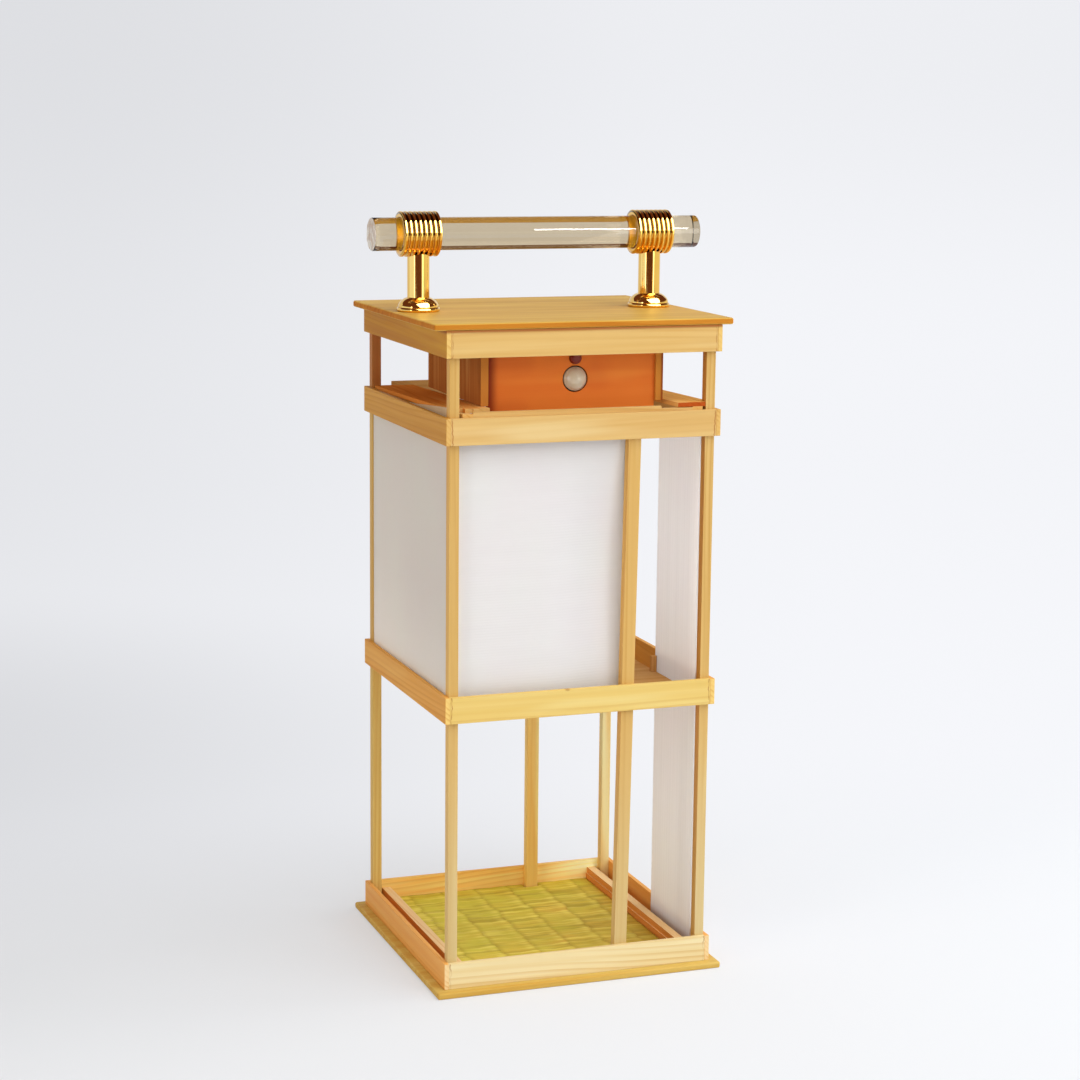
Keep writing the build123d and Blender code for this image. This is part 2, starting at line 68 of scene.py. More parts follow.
class Bench:
    # the nodes of one material, or of the world
    def __init__(self, name, owner=None):
        self.owner = owner or bpy.data.materials.new(name)
        self.owner.use_nodes = True
        self.tree = self.owner.node_tree
        self.tree.nodes.clear()

    def node(self, kind, settings=None, sockets=None, output=0):
        made = self.tree.nodes.new(kind)
        for key, value in (settings or {}).items():
            setattr(made, key, value)
        for key, value in (sockets or {}).items():
            if isinstance(value, Wire):
                self.tree.links.new(value.socket, made.inputs[key])
            else:
                made.inputs[key].default_value = value
        return Wire(self, made.outputs[output]) if made.outputs else None

    def sums(self, operation, *values, clamp=False):
        settings = {"operation": operation, "use_clamp": clamp}
        return self.node("ShaderNodeMath", settings, dict(enumerate(values)))

    def clamp(self, value):
        return self.sums("ADD", value, 0.0, clamp=True)

    def smooth(self, value, low, high):
        settings = {"interpolation_type": "SMOOTHSTEP"}
        return self.node("ShaderNodeMapRange", settings, {0: value, 1: low, 2: high, 3: 0.0, 4: 1.0})

    def under(self, value, low, high):
        # 1 below low, 0 above high
        return 1.0 - self.smooth(value, low, high)

    def split(self, vector):
        first = self.node("ShaderNodeSeparateXYZ", None, {0: vector})
        return [Wire(self, socket) for socket in first.socket.node.outputs]

    def place(self):
        return self.split(self.node("ShaderNodeTexCoord", output="Object"))

    def facing(self):
        # how squarely the surface faces each axis, 0 to 1
        normal = self.node("ShaderNodeTexCoord", output="Normal")
        return [self.sums("ABSOLUTE", part) for part in self.split(normal)]

    def ray(self, kind):
        return self.node("ShaderNodeLightPath", output=f"Is {kind} Ray")

    def join(self, x, y, z):
        return self.node("ShaderNodeCombineXYZ", None, {0: x, 1: y, 2: z})

    def noise(self, x, y, z, detail=2.0, roughness=0.5):
        sockets = {"Vector": self.join(x, y, z), "Scale": 1.0, "Detail": detail, "Roughness": roughness}
        return self.node("ShaderNodeTexNoise", None, sockets)

    def cells(self, x, y, z):
        return self.node("ShaderNodeTexVoronoi", None, {"Vector": self.join(x, y, z), "Scale": 1.0}, "Distance")

    def blend(self, factor, first, second, mode="MIX"):
        settings = {"data_type": "RGBA", "blend_type": mode}
        return self.node("ShaderNodeMix", settings, {0: factor, 6: first, 7: second}, 2)

    def tinted(self, factor, colour, tint):
        # factor 1 gives the colour times the tint
        return self.blend(factor, colour, self.blend(1.0, colour, tint, "MULTIPLY"))

    def shade(self, colour, value):
        grey = self.node("ShaderNodeCombineColor", None, {0: value, 1: value, 2: value})
        return self.blend(1.0, colour, grey, "MULTIPLY")

    def bump(self, height, distance, strength=1.0):
        return self.node("ShaderNodeBump", None, {"Height": height, "Strength": strength, "Distance": distance})

    def principled(self, **sockets):
        named = {key.replace("_", " "): value for key, value in sockets.items()}
        return self.node("ShaderNodeBsdfPrincipled", None, named)

    def mixed(self, factor, first, second):
        return self.node("ShaderNodeMixShader", None, {0: factor, 1: first, 2: second})

    def finish(self, shader, kind="ShaderNodeOutputMaterial"):
        self.node(kind, None, {"Surface": shader})
        return self.owner


def rgb(screen):
    # a colour as a screen shows it, 0 to 255, as the linear colour that a shader takes
    def linear(level):
        part = level / 255.0
        return part / 12.92 if part <= 0.04045 else ((part + 0.055) / 1.055) ** 2.4
    return (*map(linear, screen), 1.0)


# cypress of the frame, and the orange wood of the light box; cut is the colour of the end grain
# the rails are paler towards the base, a painted light from the floor, and the side rails a deeper orange than the
# front ones, a painted shade
woodLooks = {
    "topRail": {"pale": (223, 190, 125), "deep": (214, 173, 103), "streak": (229, 202, 143)},
    "upperRail": {"pale": (223, 189, 125), "deep": (213, 172, 105), "streak": (227, 200, 143)},
    "midRail": {"pale": (231, 203, 125), "deep": (224, 190, 105), "streak": (234, 213, 142)},
    "baseRail": {"pale": (238, 222, 176), "deep": (230, 207, 150), "streak": (241, 233, 195)},
    "topSide": {"pale": (200, 143, 34), "deep": (185, 122, 25), "streak": (209, 157, 47), "cut": (229, 192, 115)},
    "upperSide": {"pale": (218, 164, 74), "deep": (201, 143, 57), "streak": (226, 181, 91), "cut": (222, 180, 107)},
    "midSide": {"pale": (238, 179, 90), "deep": (227, 161, 70), "streak": (241, 191, 106), "cut": (238, 202, 121)},
    "baseSide": {"pale": (248, 191, 108), "deep": (234, 163, 81), "streak": (254, 204, 127), "cut": (242, 212, 158)},
    "back": {"pale": (255, 227, 142), "deep": (255, 197, 102), "streak": (255, 246, 170)},
    "backPost": {"pale": (255, 224, 134), "deep": (244, 195, 100), "streak": (255, 241, 159)},
    "post": {"pale": (218, 182, 113), "deep": (204, 162, 91), "streak": (225, 197, 135)},
    "stile": {"pale": (217, 178, 108), "deep": (207, 164, 91), "streak": (224, 192, 128)},
    "board": {"pale": (217, 190, 106), "deep": (204, 160, 72), "streak": (221, 195, 117)},
    "lid": {"pale": (219, 179, 86), "deep": (201, 155, 69), "streak": (225, 191, 99), "broad": 0.4},
    "strip": {"pale": (252, 222, 170), "deep": (240, 198, 138), "streak": (255, 236, 194)},
    "upperStrip": {"pale": (232, 196, 132), "deep": (218, 172, 106), "streak": (240, 210, 150),
                   "cut": (222, 176, 104), "sheen": 0.0},
    "keeper": {"pale": (250, 186, 106), "deep": (228, 150, 72), "streak": (252, 206, 134),
               "cut": (224, 178, 108), "sheen": 0.0},
    # the right keeper's dark red end grain is painted shade
    "keeperRight": {"pale": (254, 205, 123), "deep": (235, 169, 84), "streak": (255, 228, 157),
                    "cut": (182, 84, 34), "sheen": 0.0},
    "shelf": {"pale": (232, 184, 120), "deep": (214, 158, 92), "streak": (238, 196, 136), "sheen": 0.0},
    "plate": {"pale": (238, 134, 55), "deep": (229, 117, 43), "streak": (242, 144, 59),
              "quiet": 0.25, "broad": 0.4, "sheen": 0.08},
    "boxEnd": {"pale": (206, 136, 58), "deep": (192, 118, 48), "streak": (216, 150, 72), "quiet": 0.4, "sheen": 0.0},
    # the box side's deep colour is painted shade, and its paler front a painted light
    "boxSide": {"pale": (189, 123, 68), "deep": (162, 94, 46), "streak": (200, 141, 84),
                "front": (206, 132, 58), "sheen": 0.0},
}
figure = {      # steps a metre of the grain's noise, along and across the grain
    "fibre": (20.0, 1100.0), "band": (3.0, 150.0), "sweep": (4.0, 30.0), "bold": (2.0, 70.0), "flare": (7.0, 75.0),
    "rings": 330.0, "shift": 1.73, "leanU": 0.02, "leanV": 0.03,      # the grain runs a little off the piece's line
    "flareShare": 0.75, "lateWood": (0.86, 0.74, 0.58, 1.0), "rough": 0.5, "sheen": 0.1,
}
faces = {"end": (0.6, 0.85), "side": (0.5, 0.8), "top": (0.3, 0.7)}      # how squarely a face has to stand
cutEnd = {"tint": (1.0, 0.96, 0.90, 1.0), "rings": 0.12}
narrowSideShading = {      # painted light on the narrow sides of posts and stiles, and painted shade on the front right post's narrow sides
    "tint": {"post": (1.18, 1.16, 1.12, 1.0), "stile": (1.05, 1.0, 0.95, 1.0), "backPost": (1.0, 1.0, 1.0, 1.0)},
    "shadedPost": "post front right", "shadedTint": (0.86, 0.66, 0.46, 1.0),
}
floorLitFoot = {"looks": ("post", "stile"), "tint": (1.0, 1.2, 1.75, 1.0), "from": 0.02, "to": 0.24}      # painted light from the floor: paler lower ends
litFromRight = {      # painted light: the back is paler to the right
    "tint": {"back": (1.12, 1.45, 2.3, 1.0), "backPost": (0.84, 0.92, 1.35, 1.0)}, "from": 0.0, "to": 0.11,
}
rearFace = {"back": (0.1055, 0.107), "backPost": (0.1030, 0.1042), "tint": (1.08, 0.95, 0.84, 1.0)}
backPostShade = {      # painted shade: the left back post is darker, more so above the shelf and most of all near its top
    "look": "backPost", "tint": (0.76, 0.78, 0.86, 1.0), "from": -0.06, "to": -0.09,
    "above": (0.62, 0.30, 0.28, 1.0), "midBay": (0.19, 0.24, 0.3), "topBay": (0.42, 0.445, 0.6),
}
# painted shade: the left keeper darkens towards the back, under the lid and the box
keeperShade = {"look": "keeper", "tint": (0.88, 0.68, 0.54, 1.0), "from": -0.085, "to": -0.03}
# painted shadow along the tops of the top rails, under the lid's edge
lidEdgeShadow = {"looks": ("topRail", "topSide"), "dark": (150, 78, 30), "from": 0.4977, "to": 0.4998, "share": 0.85}
shadedSides = {"lid": (0.84, 0.52, 0.24, 1.0), "strip": (0.80, 0.46, 0.24, 1.0)}      # painted shade: the sides of the lid and the strips are a deeper orange than their tops
joint = {      # the line where two rails meet, open in places
    "place": 0.1033, "width": 0.00022, "wander": 0.0034, "dark": (168, 104, 46), "closed": 0.15, "open": 0.6,
}
# the dark rim round the lens is painted shade in its gap, the dark red left end a painted shadow of the box side, and
# the dark edge a painted shade on the right side board
plate = {
    "lensX": 0.001, "lensZ": 0.46015, "rim": (96, 26, 10), "rimStart": 0.0092, "rimEnd": 0.0104,
    "redder": (206, 88, 40), "sideBoardShadow": (128, 36, 14), "leftFrom": -0.0670, "leftTo": -0.0585,
    "edge": (140, 62, 26), "edgeFrom": 0.0682, "edgeTo": 0.0696,
}
nick = {"piece": "mid rail front", "x": -0.012, "z": 0.230, "size": 0.0016, "share": 0.6}


def growWood(bench, along, first, second, shift, size):
    # fibre, tone, late wood, where late wood is bold, and pale flares
    lean = figure["leanU"] * math.sin(shift / figure["shift"] * 2.3)
    u = first + along * lean
    v = second + along * (figure["leanV"] * math.cos(shift / figure["shift"] * 1.9))
    (fibreAlong, fibreAcross), (bandAlong, bandAcross) = figure["fibre"], figure["band"]
    (sweepAlong, sweepAcross), (boldAlong, boldAcross) = figure["sweep"], figure["bold"]
    flareAlong, flareAcross = figure["flare"]
    fibre = bench.noise(along * fibreAlong + shift, u * fibreAcross, v * fibreAcross, 3.0, 0.6)
    band = bench.noise(along * bandAlong - shift, u * (bandAcross * size), v * (bandAcross * size) + shift, 3.0, 0.5)
    sweep = bench.noise(along * sweepAlong + shift, u * sweepAcross, v * sweepAcross + shift, 1.0)
    ring = bench.sums("FRACT", (u * 0.8 + v * 0.6) * (figure["rings"] * size) + sweep * 3.0 + shift)
    late = bench.smooth(ring, 0.35, 0.9) * bench.under(ring, 0.9, 1.0)
    bold = bench.noise(along * boldAlong + shift, u * boldAcross, v * boldAcross - shift, 1.0)
    flare = bench.noise(along * flareAlong + shift, u * flareAcross, v * flareAcross - shift, 1.0)
    tone = bench.clamp(band * 2.2 - 0.6 + (fibre - 0.5) * 0.4)
    return fibre, tone, late, bench.smooth(bold, 0.46, 0.62), bench.smooth(flare, 0.55, 0.78)


def paintLightAndShade(bench, colour, name, lookName, point, faceX, faceZ):
    # painted light and shade on a piece, by where it stands: paler lower ends and narrow sides, the back paler to the
    # right with a warmer rear face, shade on the left back post and keeper, a shadow under the lid and deeper sides
    x, y, z = point
    if lookName in floorLitFoot["looks"]:
        colour = bench.tinted(bench.under(z, floorLitFoot["from"], floorLitFoot["to"]), colour, floorLitFoot["tint"])
    if lookName in narrowSideShading["tint"]:
        tint = narrowSideShading["shadedTint"] if name.endswith(narrowSideShading["shadedPost"]) else narrowSideShading["tint"][lookName]
        colour = bench.tinted(bench.smooth(faceX, *faces["side"]), colour, tint)
    if lookName in litFromRight["tint"]:
        rear = bench.smooth(y, *rearFace[lookName])
        colour = bench.tinted(rear, colour, rearFace["tint"])
        reach = bench.smooth(x, litFromRight["from"], litFromRight["to"]) * (1.0 - rear)
        colour = bench.tinted(reach, colour, litFromRight["tint"][lookName])
    if lookName == backPostShade["look"]:
        reach = bench.under(x, backPostShade["to"], backPostShade["from"])
        colour = bench.tinted(reach, colour, backPostShade["tint"])
        (midLow, midHigh, midShare), (topLow, topHigh, topShare) = backPostShade["midBay"], backPostShade["topBay"]
        above = bench.smooth(z, midLow, midHigh) * midShare + bench.smooth(z, topLow, topHigh) * topShare
        colour = bench.tinted(reach * above, colour, backPostShade["above"])
    if lookName == keeperShade["look"]:
        behind = bench.smooth(y, keeperShade["from"], keeperShade["to"])
        colour = bench.tinted(behind, colour, keeperShade["tint"])
    if lookName in lidEdgeShadow["looks"]:
        top = bench.smooth(z, lidEdgeShadow["from"], lidEdgeShadow["to"]) * lidEdgeShadow["share"]
        colour = bench.blend(top, colour, rgb(lidEdgeShadow["dark"]))
    if lookName in shadedSides:
        colour = bench.tinted(bench.under(faceZ, *faces["top"]), colour, shadedSides[lookName])
    return colour


def openJoints(bench, colour, x, z, faceY, shift):
    wobble = (bench.noise(z * 200.0, shift, 3.0, 4.0, 0.65) - 0.5) * joint["wander"]
    apart = bench.sums("ABSOLUTE", bench.sums("ABSOLUTE", x) - joint["place"] + wobble)
    crack = bench.under(apart, joint["width"], joint["width"] * 3) * bench.smooth(faceY, *faces["side"])
    parted = bench.smooth(bench.noise(z * 70.0, shift, 8.0, 2.0), 0.40, 0.55)
    return bench.blend(crack * (parted * joint["open"] + joint["closed"]), colour, rgb(joint["dark"]))


def toneAndShadePlate(bench, colour, x, z):
    # redder in clouds, with a painted shadow of the box side at its left end and painted shade in the gap round the
    # lens
    awayX, awayZ = x - plate["lensX"], z - plate["lensZ"]
    fromLens = bench.sums("SQRT", awayX * awayX + awayZ * awayZ)
    redder = bench.smooth(bench.noise(x * 22.0, 4.0, z * 30.0 + 2.0, 1.0) - x * 2.0, 0.45, 0.75)
    colour = bench.blend(redder * 0.35, colour, rgb(plate["redder"]))
    colour = bench.blend(bench.under(x, plate["leftFrom"], plate["leftTo"]) * 0.9, colour, rgb(plate["sideBoardShadow"]))
    rim = bench.under(fromLens, plate["rimStart"], plate["rimEnd"])
    return bench.blend(rim * 0.85, colour, rgb(plate["rim"]))


def nickEdge(bench, colour, x, z):
    awayX, awayZ = x - nick["x"], z - nick["z"]
    away = bench.sums("SQRT", awayX * awayX * 0.35 + awayZ * awayZ)
    bite = bench.under(away, nick["size"] * 0.3, nick["size"]) * nick["share"]
    return bench.blend(bite, colour, rgb(joint["dark"]))


def makeWood(name, lookName, grain, seed):
    look = woodLooks[lookName]
    bench = Bench(name)
    point = x, y, z = bench.place()
    faceX, faceY, faceZ = bench.facing()
    along, first, second = {"X": (x, y, z), "Y": (y, z, x), "Z": (z, x, y)}[grain]
    endFacing = {"X": faceX, "Y": faceY, "Z": faceZ}[grain]
    shift = seed * figure["shift"]
    fibre, tone, late, bold, flare = growWood(bench, along, first, second, shift, look.get("broad", 1.0))
    colour = bench.blend(tone, rgb(look["pale"]), rgb(look["deep"]))
    colour = bench.blend(flare * figure["flareShare"], colour, rgb(look["streak"]))
    cutFace = bench.smooth(endFacing, *faces["end"])
    endTint = rgb(look["cut"]) if "cut" in look else bench.blend(1.0, colour, cutEnd["tint"], "MULTIPLY")
    colour = bench.blend(cutFace, colour, endTint)
    colour = paintLightAndShade(bench, colour, name, lookName, point, faceX, faceZ)
    quiet = look.get("quiet", 1.0)
    depth = (bold * 0.42 + 0.08) * quiet + cutFace * cutEnd["rings"]
    colour = bench.tinted(late * depth * 1.5, colour, figure["lateWood"])
    colour = bench.shade(colour, 1.0 + (fibre - 0.5) * (0.07 * quiet))
    if lookName.endswith("Rail"):
        colour = openJoints(bench, colour, x, z, faceY, shift)
    if name.endswith("box front plate"):
        colour = toneAndShadePlate(bench, colour, x, z)
    # painted light: the front-facing edge of the box side is paler
    if "front" in look:
        colour = bench.blend(bench.smooth(faceY, *faces["side"]), colour, rgb(look["front"]))
    # painted shade on the outer strip of the right side board
    if lookName == "boxEnd":
        edge = bench.smooth(x, plate["edgeFrom"], plate["edgeTo"]) * 0.85
        colour = bench.blend(edge, colour, rgb(plate["edge"]))
    if name.endswith(nick["piece"]):
        colour = nickEdge(bench, colour, x, z)
    rough = figure["rough"] + (fibre - 0.5) * 0.22 + cutFace * 0.15
    normal = bench.bump(fibre * 0.7 - late * bold * 0.4, 0.00005)
    return bench.finish(bench.principled(Base_Color=colour, Roughness=rough, Normal=normal,
                                         Specular_IOR_Level=look.get("sheen", figure["sheen"])))


woodPieces = {
    "base_board": ("board", "X"), "lid_board": ("lid", "X"), "mid_shelf": ("shelf", "X"), "panel_stop": ("shelf", "Z"),
    "stile_front": ("stile", "Z"), "stile_back": ("backPost", "Z"), "cleats": ("upperRail", "X"),
    "base_strip_left": ("strip", "Y"), "base_strip_right": ("strip", "Y"), "upper_strips": ("upperStrip", "Y"),
    "keeper_left": ("keeper", "Y"), "keeper_right": ("keeperRight", "Y"),
    "box_side_left": ("boxSide", "Z"), "box_side_right": ("boxEnd", "Z"), "box_front_plate": ("plate", "X"),
    "box_back_plate": ("plate", "X"), "box_floor": ("boxSide", "X"), "box_corner_blocks": ("boxSide", "Z"),
}
for level in ("base", "mid", "upper", "top"):
    for side, look, grain in (("front", "Rail", "X"), ("left", "Side", "Y"), ("right", "Side", "Y")):
        woodPieces[f"{level}_rail_{side}"] = (level + look, grain)
    woodPieces[f"{level}_rail_back"] = ("back", "X")
for corner in ("front_left", "front_right", "back_left", "back_right"):
    woodPieces["post_" + corner] = ("backPost" if corner.startswith("back") else "post", "Z")


def dress(node, material):
    for place in nodes[node].material_slots:
        place.material = material


for count, (node, (look, grain)) in enumerate(sorted(woodPieces.items())):
    dress(node, makeWood("wood of " + node.replace("_", " "), look, grain, count + 1))
print("wood: dressed", len(woodPieces), "pieces")


def fromBmesh(name, form):
    bmesh.ops.recalc_face_normals(form, faces=form.faces)
    mesh = bpy.data.meshes.new(name)
    form.to_mesh(mesh)
    form.free()
    return mesh


def addObject(name, data):
    made = bpy.data.objects.new(name, data)
    bpy.context.scene.collection.objects.link(made)
    return made


def addPiece(name, mesh, materials, body, stands, smooth=True):
    piece = addObject(name, mesh)
    for material in materials:
        mesh.materials.append(material)
    for face in mesh.polygons:
        face.use_smooth = smooth
    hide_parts(*stands)
    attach(piece, body)
    return piece


def turned(form, profile, centre, axis="X", segments=96, dent=None, materialOf=None):
    # turns (along, radius) pairs about an axis through centre; a closed profile ends where it starts
    rings = []
    for index, (along, radius) in enumerate(profile):
        ring = []
        steps = 1 if radius < 1e-6 else segments
        for step in range(steps):
            angle = 2 * math.pi * step / segments
            u, v = radius * math.cos(angle), radius * math.sin(angle)
            point = Vector({"X": (along, u, v), "Y": (u, along, v), "Z": (u, v, along)}[axis])
            if dent:
                point += dent(index, point)
            ring.append(form.verts.new(point + Vector(centre)))
        rings.append(ring)
    for index in range(len(rings) - 1):
        low, high = rings[index], rings[index + 1]
        if len(low) == 1 and len(high) == 1:
            continue
        for step in range(segments):
            after = (step + 1) % segments
            if len(low) == 1:
                face = form.faces.new((low[0], high[after], high[step]))
            elif len(high) == 1:
                face = form.faces.new((low[step], low[after], high[0]))
            else:
                face = form.faces.new((low[step], low[after], high[after], high[step]))
            if materialOf:
                face.material_index = materialOf(index)


# the handle's clear rod, ribbed collars, stems and feet

handle = {
    "leftStem": -0.0960, "rightStem": 0.0922, "rodHeight": 0.5637, "lidTop": 0.5055,
    "rodRadius": 0.0125, "rodLeft": -0.1338, "rodRight": 0.1300, "rodEndRound": 1.1, "chip": 0.0005, "chipsAcross": 330,
    "collarShift": -0.00055, "collarLength": 0.0294, "collarRoot": 0.0155,
    "ribCount": 8, "ribRise": 0.0016, "ribHalf": 0.00105, "ribCrest": 0.0007, "ribDome": 0.06,
    "stemRadius": 0.0085, "footRadius": 0.0165, "footHeight": 0.0106, "footEdge": 1.6, "bellStart": 3.0,
    "gold": (252, 214, 126), "goldDeep": (244, 192, 96), "goldRough": 0.03,
    # the groove colour is painted shade between the ribs, and the lower-half tint a painted reflection of the lid
    "groove": (30, 10, 6), "underside": (0.96, 0.82, 0.5, 1.0), "bore": (255, 222, 84), "boreDeep": (250, 190, 52),
    "rod": (215, 200, 171), "rodHaze": (209, 192, 162), "rodShadow": (246, 240, 228), "clearIor": 1.49,
    "chipPale": (255, 255, 252), "chipDeep": (210, 194, 182),
}


def makeGold(name, ribbed=False):
    bench = Bench(name)
    x, y, z = bench.place()
    cloud = bench.noise(x * 60.0, y * 60.0, z * 60.0, 3.0, 0.6)
    hair = bench.noise(x * 900.0, y * 900.0, z * 300.0, 2.0)
    colour = bench.blend(cloud, rgb(handle["gold"]), rgb(handle["goldDeep"]))
    if ribbed:      # painted shade: the grooves are dark, most of all on the upper half, and the lower half takes a painted orange reflection of the lid
        root = handle["collarRoot"]
        up = z - handle["rodHeight"]
        lower = bench.under(up, -0.003, 0.003)
        colour = bench.tinted(lower, colour, handle["underside"])
        out = bench.sums("SQRT", y * y + up * up)
        endFace = bench.smooth(bench.facing()[0], 0.6, 0.9) * bench.under(out, root, root + 0.2 * mm)
        deep = bench.under(out, root + 0.6 * mm, root + 1.2 * mm) * (1.0 - endFace)
        colour = bench.blend(deep * (0.96 - lower * 0.7), colour, rgb(handle["groove"]))
    rough = handle["goldRough"] + cloud * 0.03 + hair * 0.03
    normal = bench.bump(cloud, 0.00004)
    return bench.finish(bench.principled(Base_Color=colour, Metallic=1.0, Roughness=rough, Normal=normal))


def makeBore(name):
    # the sleeve inside a collar is dull brass, which the clear rod shows
    bench = Bench(name)
    x, y, z = bench.place()
    patch = bench.noise(x * 160.0, y * 160.0, z * 160.0, 2.0)
    colour = bench.blend(patch, rgb(handle["bore"]), rgb(handle["boreDeep"]))
    return bench.finish(bench.principled(Base_Color=colour, Metallic=0.75, Roughness=0.3 + patch * 0.1,
                                         Normal=bench.bump(patch, 0.0002)))


def makeRodGlass(name, chipped=False):
    bench = Bench(name)
    x, y, z = bench.place()
    haze = bench.noise(x * 40.0, y * 90.0, z * 90.0, 3.0)
    if chipped:
        chips = bench.cells(x * 240.0, y * 240.0, z * 160.0)
        colour = bench.blend(bench.smooth(chips, 0.1, 0.8), rgb(handle["chipPale"]), rgb(handle["chipDeep"]))
        normal = bench.bump(chips + haze, 0.0008)
        shader = bench.principled(Base_Color=colour, Roughness=0.18 + chips * 0.3, Normal=normal,
                                  Transmission_Weight=0.12, IOR=handle["clearIor"])
    else:      # lamps shine through it, so that its shadow is pale
        colour = bench.blend(haze, rgb(handle["rod"]), rgb(handle["rodHaze"]))
        solid = bench.principled(Base_Color=colour, Roughness=haze * 0.012,
                                 Transmission_Weight=1.0, IOR=handle["clearIor"])
        clear = bench.node("ShaderNodeBsdfTransparent", None, {"Color": rgb(handle["rodShadow"])})
        shader = bench.mixed(bench.ray("Shadow"), solid, clear)
    return bench.finish(shader)


gold = makeGold("polished gold")
ribbedGold = makeGold("ribbed gold", True)
bore = makeBore("dull brass bore")
stems = (handle["leftStem"], handle["rightStem"])


def addCollars():
    form = bmesh.new()
    half, root, rise = handle["collarLength"] / 2, handle["collarRoot"], handle["ribRise"]
    rib, crest, count = handle["ribHalf"], handle["ribCrest"], handle["ribCount"]
    dome = handle["ribDome"] * mm
    pitch = (2 * half - 2.5 * rib) / (count - 1)
    boreRadius = handle["rodRadius"] + 0.05 * mm
    profile = [(-half, boreRadius), (-half, root - 0.4 * mm), (-half + 0.25 * mm, root)]
    for index in range(count):
        middle = (index - (count - 1) / 2) * pitch
        for step in range(13):      # a square rib with rounded shoulders and a barely domed crest
            reach = -1 + 2 * step / 12
            corner = min(1.0, max(0.0, (abs(reach) * rib - crest) / (rib - crest)))
            seamShade = dome * (reach * rib / crest) ** 2 if corner == 0 else dome
            shoulder = (rise - dome) * (1 - math.sqrt(1 - corner ** 2))
            profile.append((middle + rib * reach, root + rise - seamShade - shoulder))
    profile += [(half - 0.25 * mm, root), (half, root - 0.4 * mm), (half, boreRadius), (-half, boreRadius)]
    last = len(profile) - 2      # the last strip is the bore
    for x in stems:
        centre = (x + handle["collarShift"], 0.0, handle["rodHeight"])
        turned(form, profile, centre, segments=128, materialOf=lambda index: 1 if index >= last else 0)
    bmesh.ops.remove_doubles(form, verts=form.verts, dist=1e-6)
    mesh = fromBmesh("handleCollars", form)
    addPiece("handleCollars", mesh, [ribbedGold, bore], "lantern", ["handle_collars"])


def addStems():
    crest = handle["collarRoot"] + handle["ribRise"] - 0.1 * mm
    radius, segments, levels = handle["stemRadius"], 96, 12
    low = handle["lidTop"]
    for name, x in (("Left", stems[0]), ("Right", stems[1])):
        form = bmesh.new()
        rows = []
        for level in range(levels + 1):
            row = []
            for step in range(segments):
                angle = 2 * math.pi * step / segments
                u, v = radius * math.cos(angle), radius * math.sin(angle)
                top = handle["rodHeight"] - math.sqrt(crest ** 2 - v ** 2)
                row.append(form.verts.new((x + u, v, low + (top - low) * level / levels)))
            rows.append(row)
        for below, above in zip(rows, rows[1:]):
            for step in range(segments):
                after = (step + 1) % segments
                form.faces.new((below[step], below[after], above[after], above[step]))
        form.faces.new(rows[0])
        form.faces.new(rows[-1])
        mesh = fromBmesh("handleStem" + name, form)
        mesh.set_sharp_from_angle(angle=math.radians(40))
        addPiece("handleStem" + name, mesh, [gold], "lantern", ["handle_stem_" + name.lower()])


def addFeet():
    form = bmesh.new()
    rim, high, stem = handle["footRadius"], handle["footHeight"], handle["stemRadius"] + 0.05 * mm
    edge, bellStart = handle["footEdge"] * mm, handle["bellStart"] * mm
    profile = [(0.0, stem), (0.0, rim - 0.9 * mm)]
    for step in range(11):      # the rounded rim
        angle = -math.pi / 2 + math.pi * step / 10
        profile.append((edge + edge * math.sin(angle), rim - 1.2 * mm + 1.2 * mm * math.cos(angle)))
    profile.append((bellStart, rim - 1.1 * mm))
    for step in range(1, 15):      # the bell
        rise = step / 14
        out = (rim - 1.5 * mm - stem) * (1 - rise ** 2.2) ** 0.85
        profile.append((bellStart + (high - bellStart) * rise, stem + 0.4 * mm + out))
    profile += [(high, stem + 0.4 * mm), (high - 0.3 * mm, stem), (0.0, stem)]
    for x in stems:
        turned(form, profile, (x, 0.0, handle["lidTop"]), axis="Z", segments=128)
    bmesh.ops.remove_doubles(form, verts=form.verts, dist=1e-6)
    addPiece("handleFeet", fromBmesh("handleFeet", form), [gold], "lantern", ["handle_feet"])


def addRod():
    form = bmesh.new()
    radius, left, right = handle["rodRadius"], handle["rodLeft"], handle["rodRight"]
    endRound = handle["rodEndRound"] * mm
    faceRings = 9
    profile = [(left + 1.0 * mm, 0.0)]
    profile += [(left + 0.6 * mm, radius * 0.93 * ring / faceRings) for ring in range(1, faceRings)]
    profile.append((left + 0.4 * mm, radius - 0.9 * mm))
    chipped = len(profile)
    profile += [(left + 1.0 * mm, radius - 0.25 * mm), (left + 1.5 * mm, radius)]
    profile += [(left + (right - 1.3 * mm - left) * step / 24, radius) for step in range(1, 24)]
    for step in range(9):       # the right end is softly rounded
        angle = math.pi / 2 * step / 8
        profile.append((right - endRound * (1 - math.sin(angle)), radius - endRound * (1 - math.cos(angle))))
    profile += [(right, radius * 0.5), (right, 0.0)]

    def dent(index, point):
        if index >= chipped:
            return Vector((0.0, 0.0, 0.0))
        across = handle["chipsAcross"]
        cell = noise.cell_vector(Vector((point.y * across, point.z * across, 5.0)))
        return Vector((handle["chip"] * cell.x, 0.0, 0.0))

    centre = (0.0, 0.0, handle["rodHeight"])
    turned(form, profile, centre, dent=dent, materialOf=lambda index: 1 if index < chipped else 0)
    bmesh.ops.remove_doubles(form, verts=form.verts, dist=1e-7)
    finishes = [makeRodGlass("clear rod"), makeRodGlass("crackled rod end", True)]
    piece = addPiece("handleRod", fromBmesh("handleRod", form), finishes, "lantern", ["handle_rod"])
    for face in piece.data.polygons:
        if face.material_index == 1:
            face.use_smooth = False


addCollars()
addStems()
addFeet()
addRod()
print("handle: rod, collars, stems and feet")


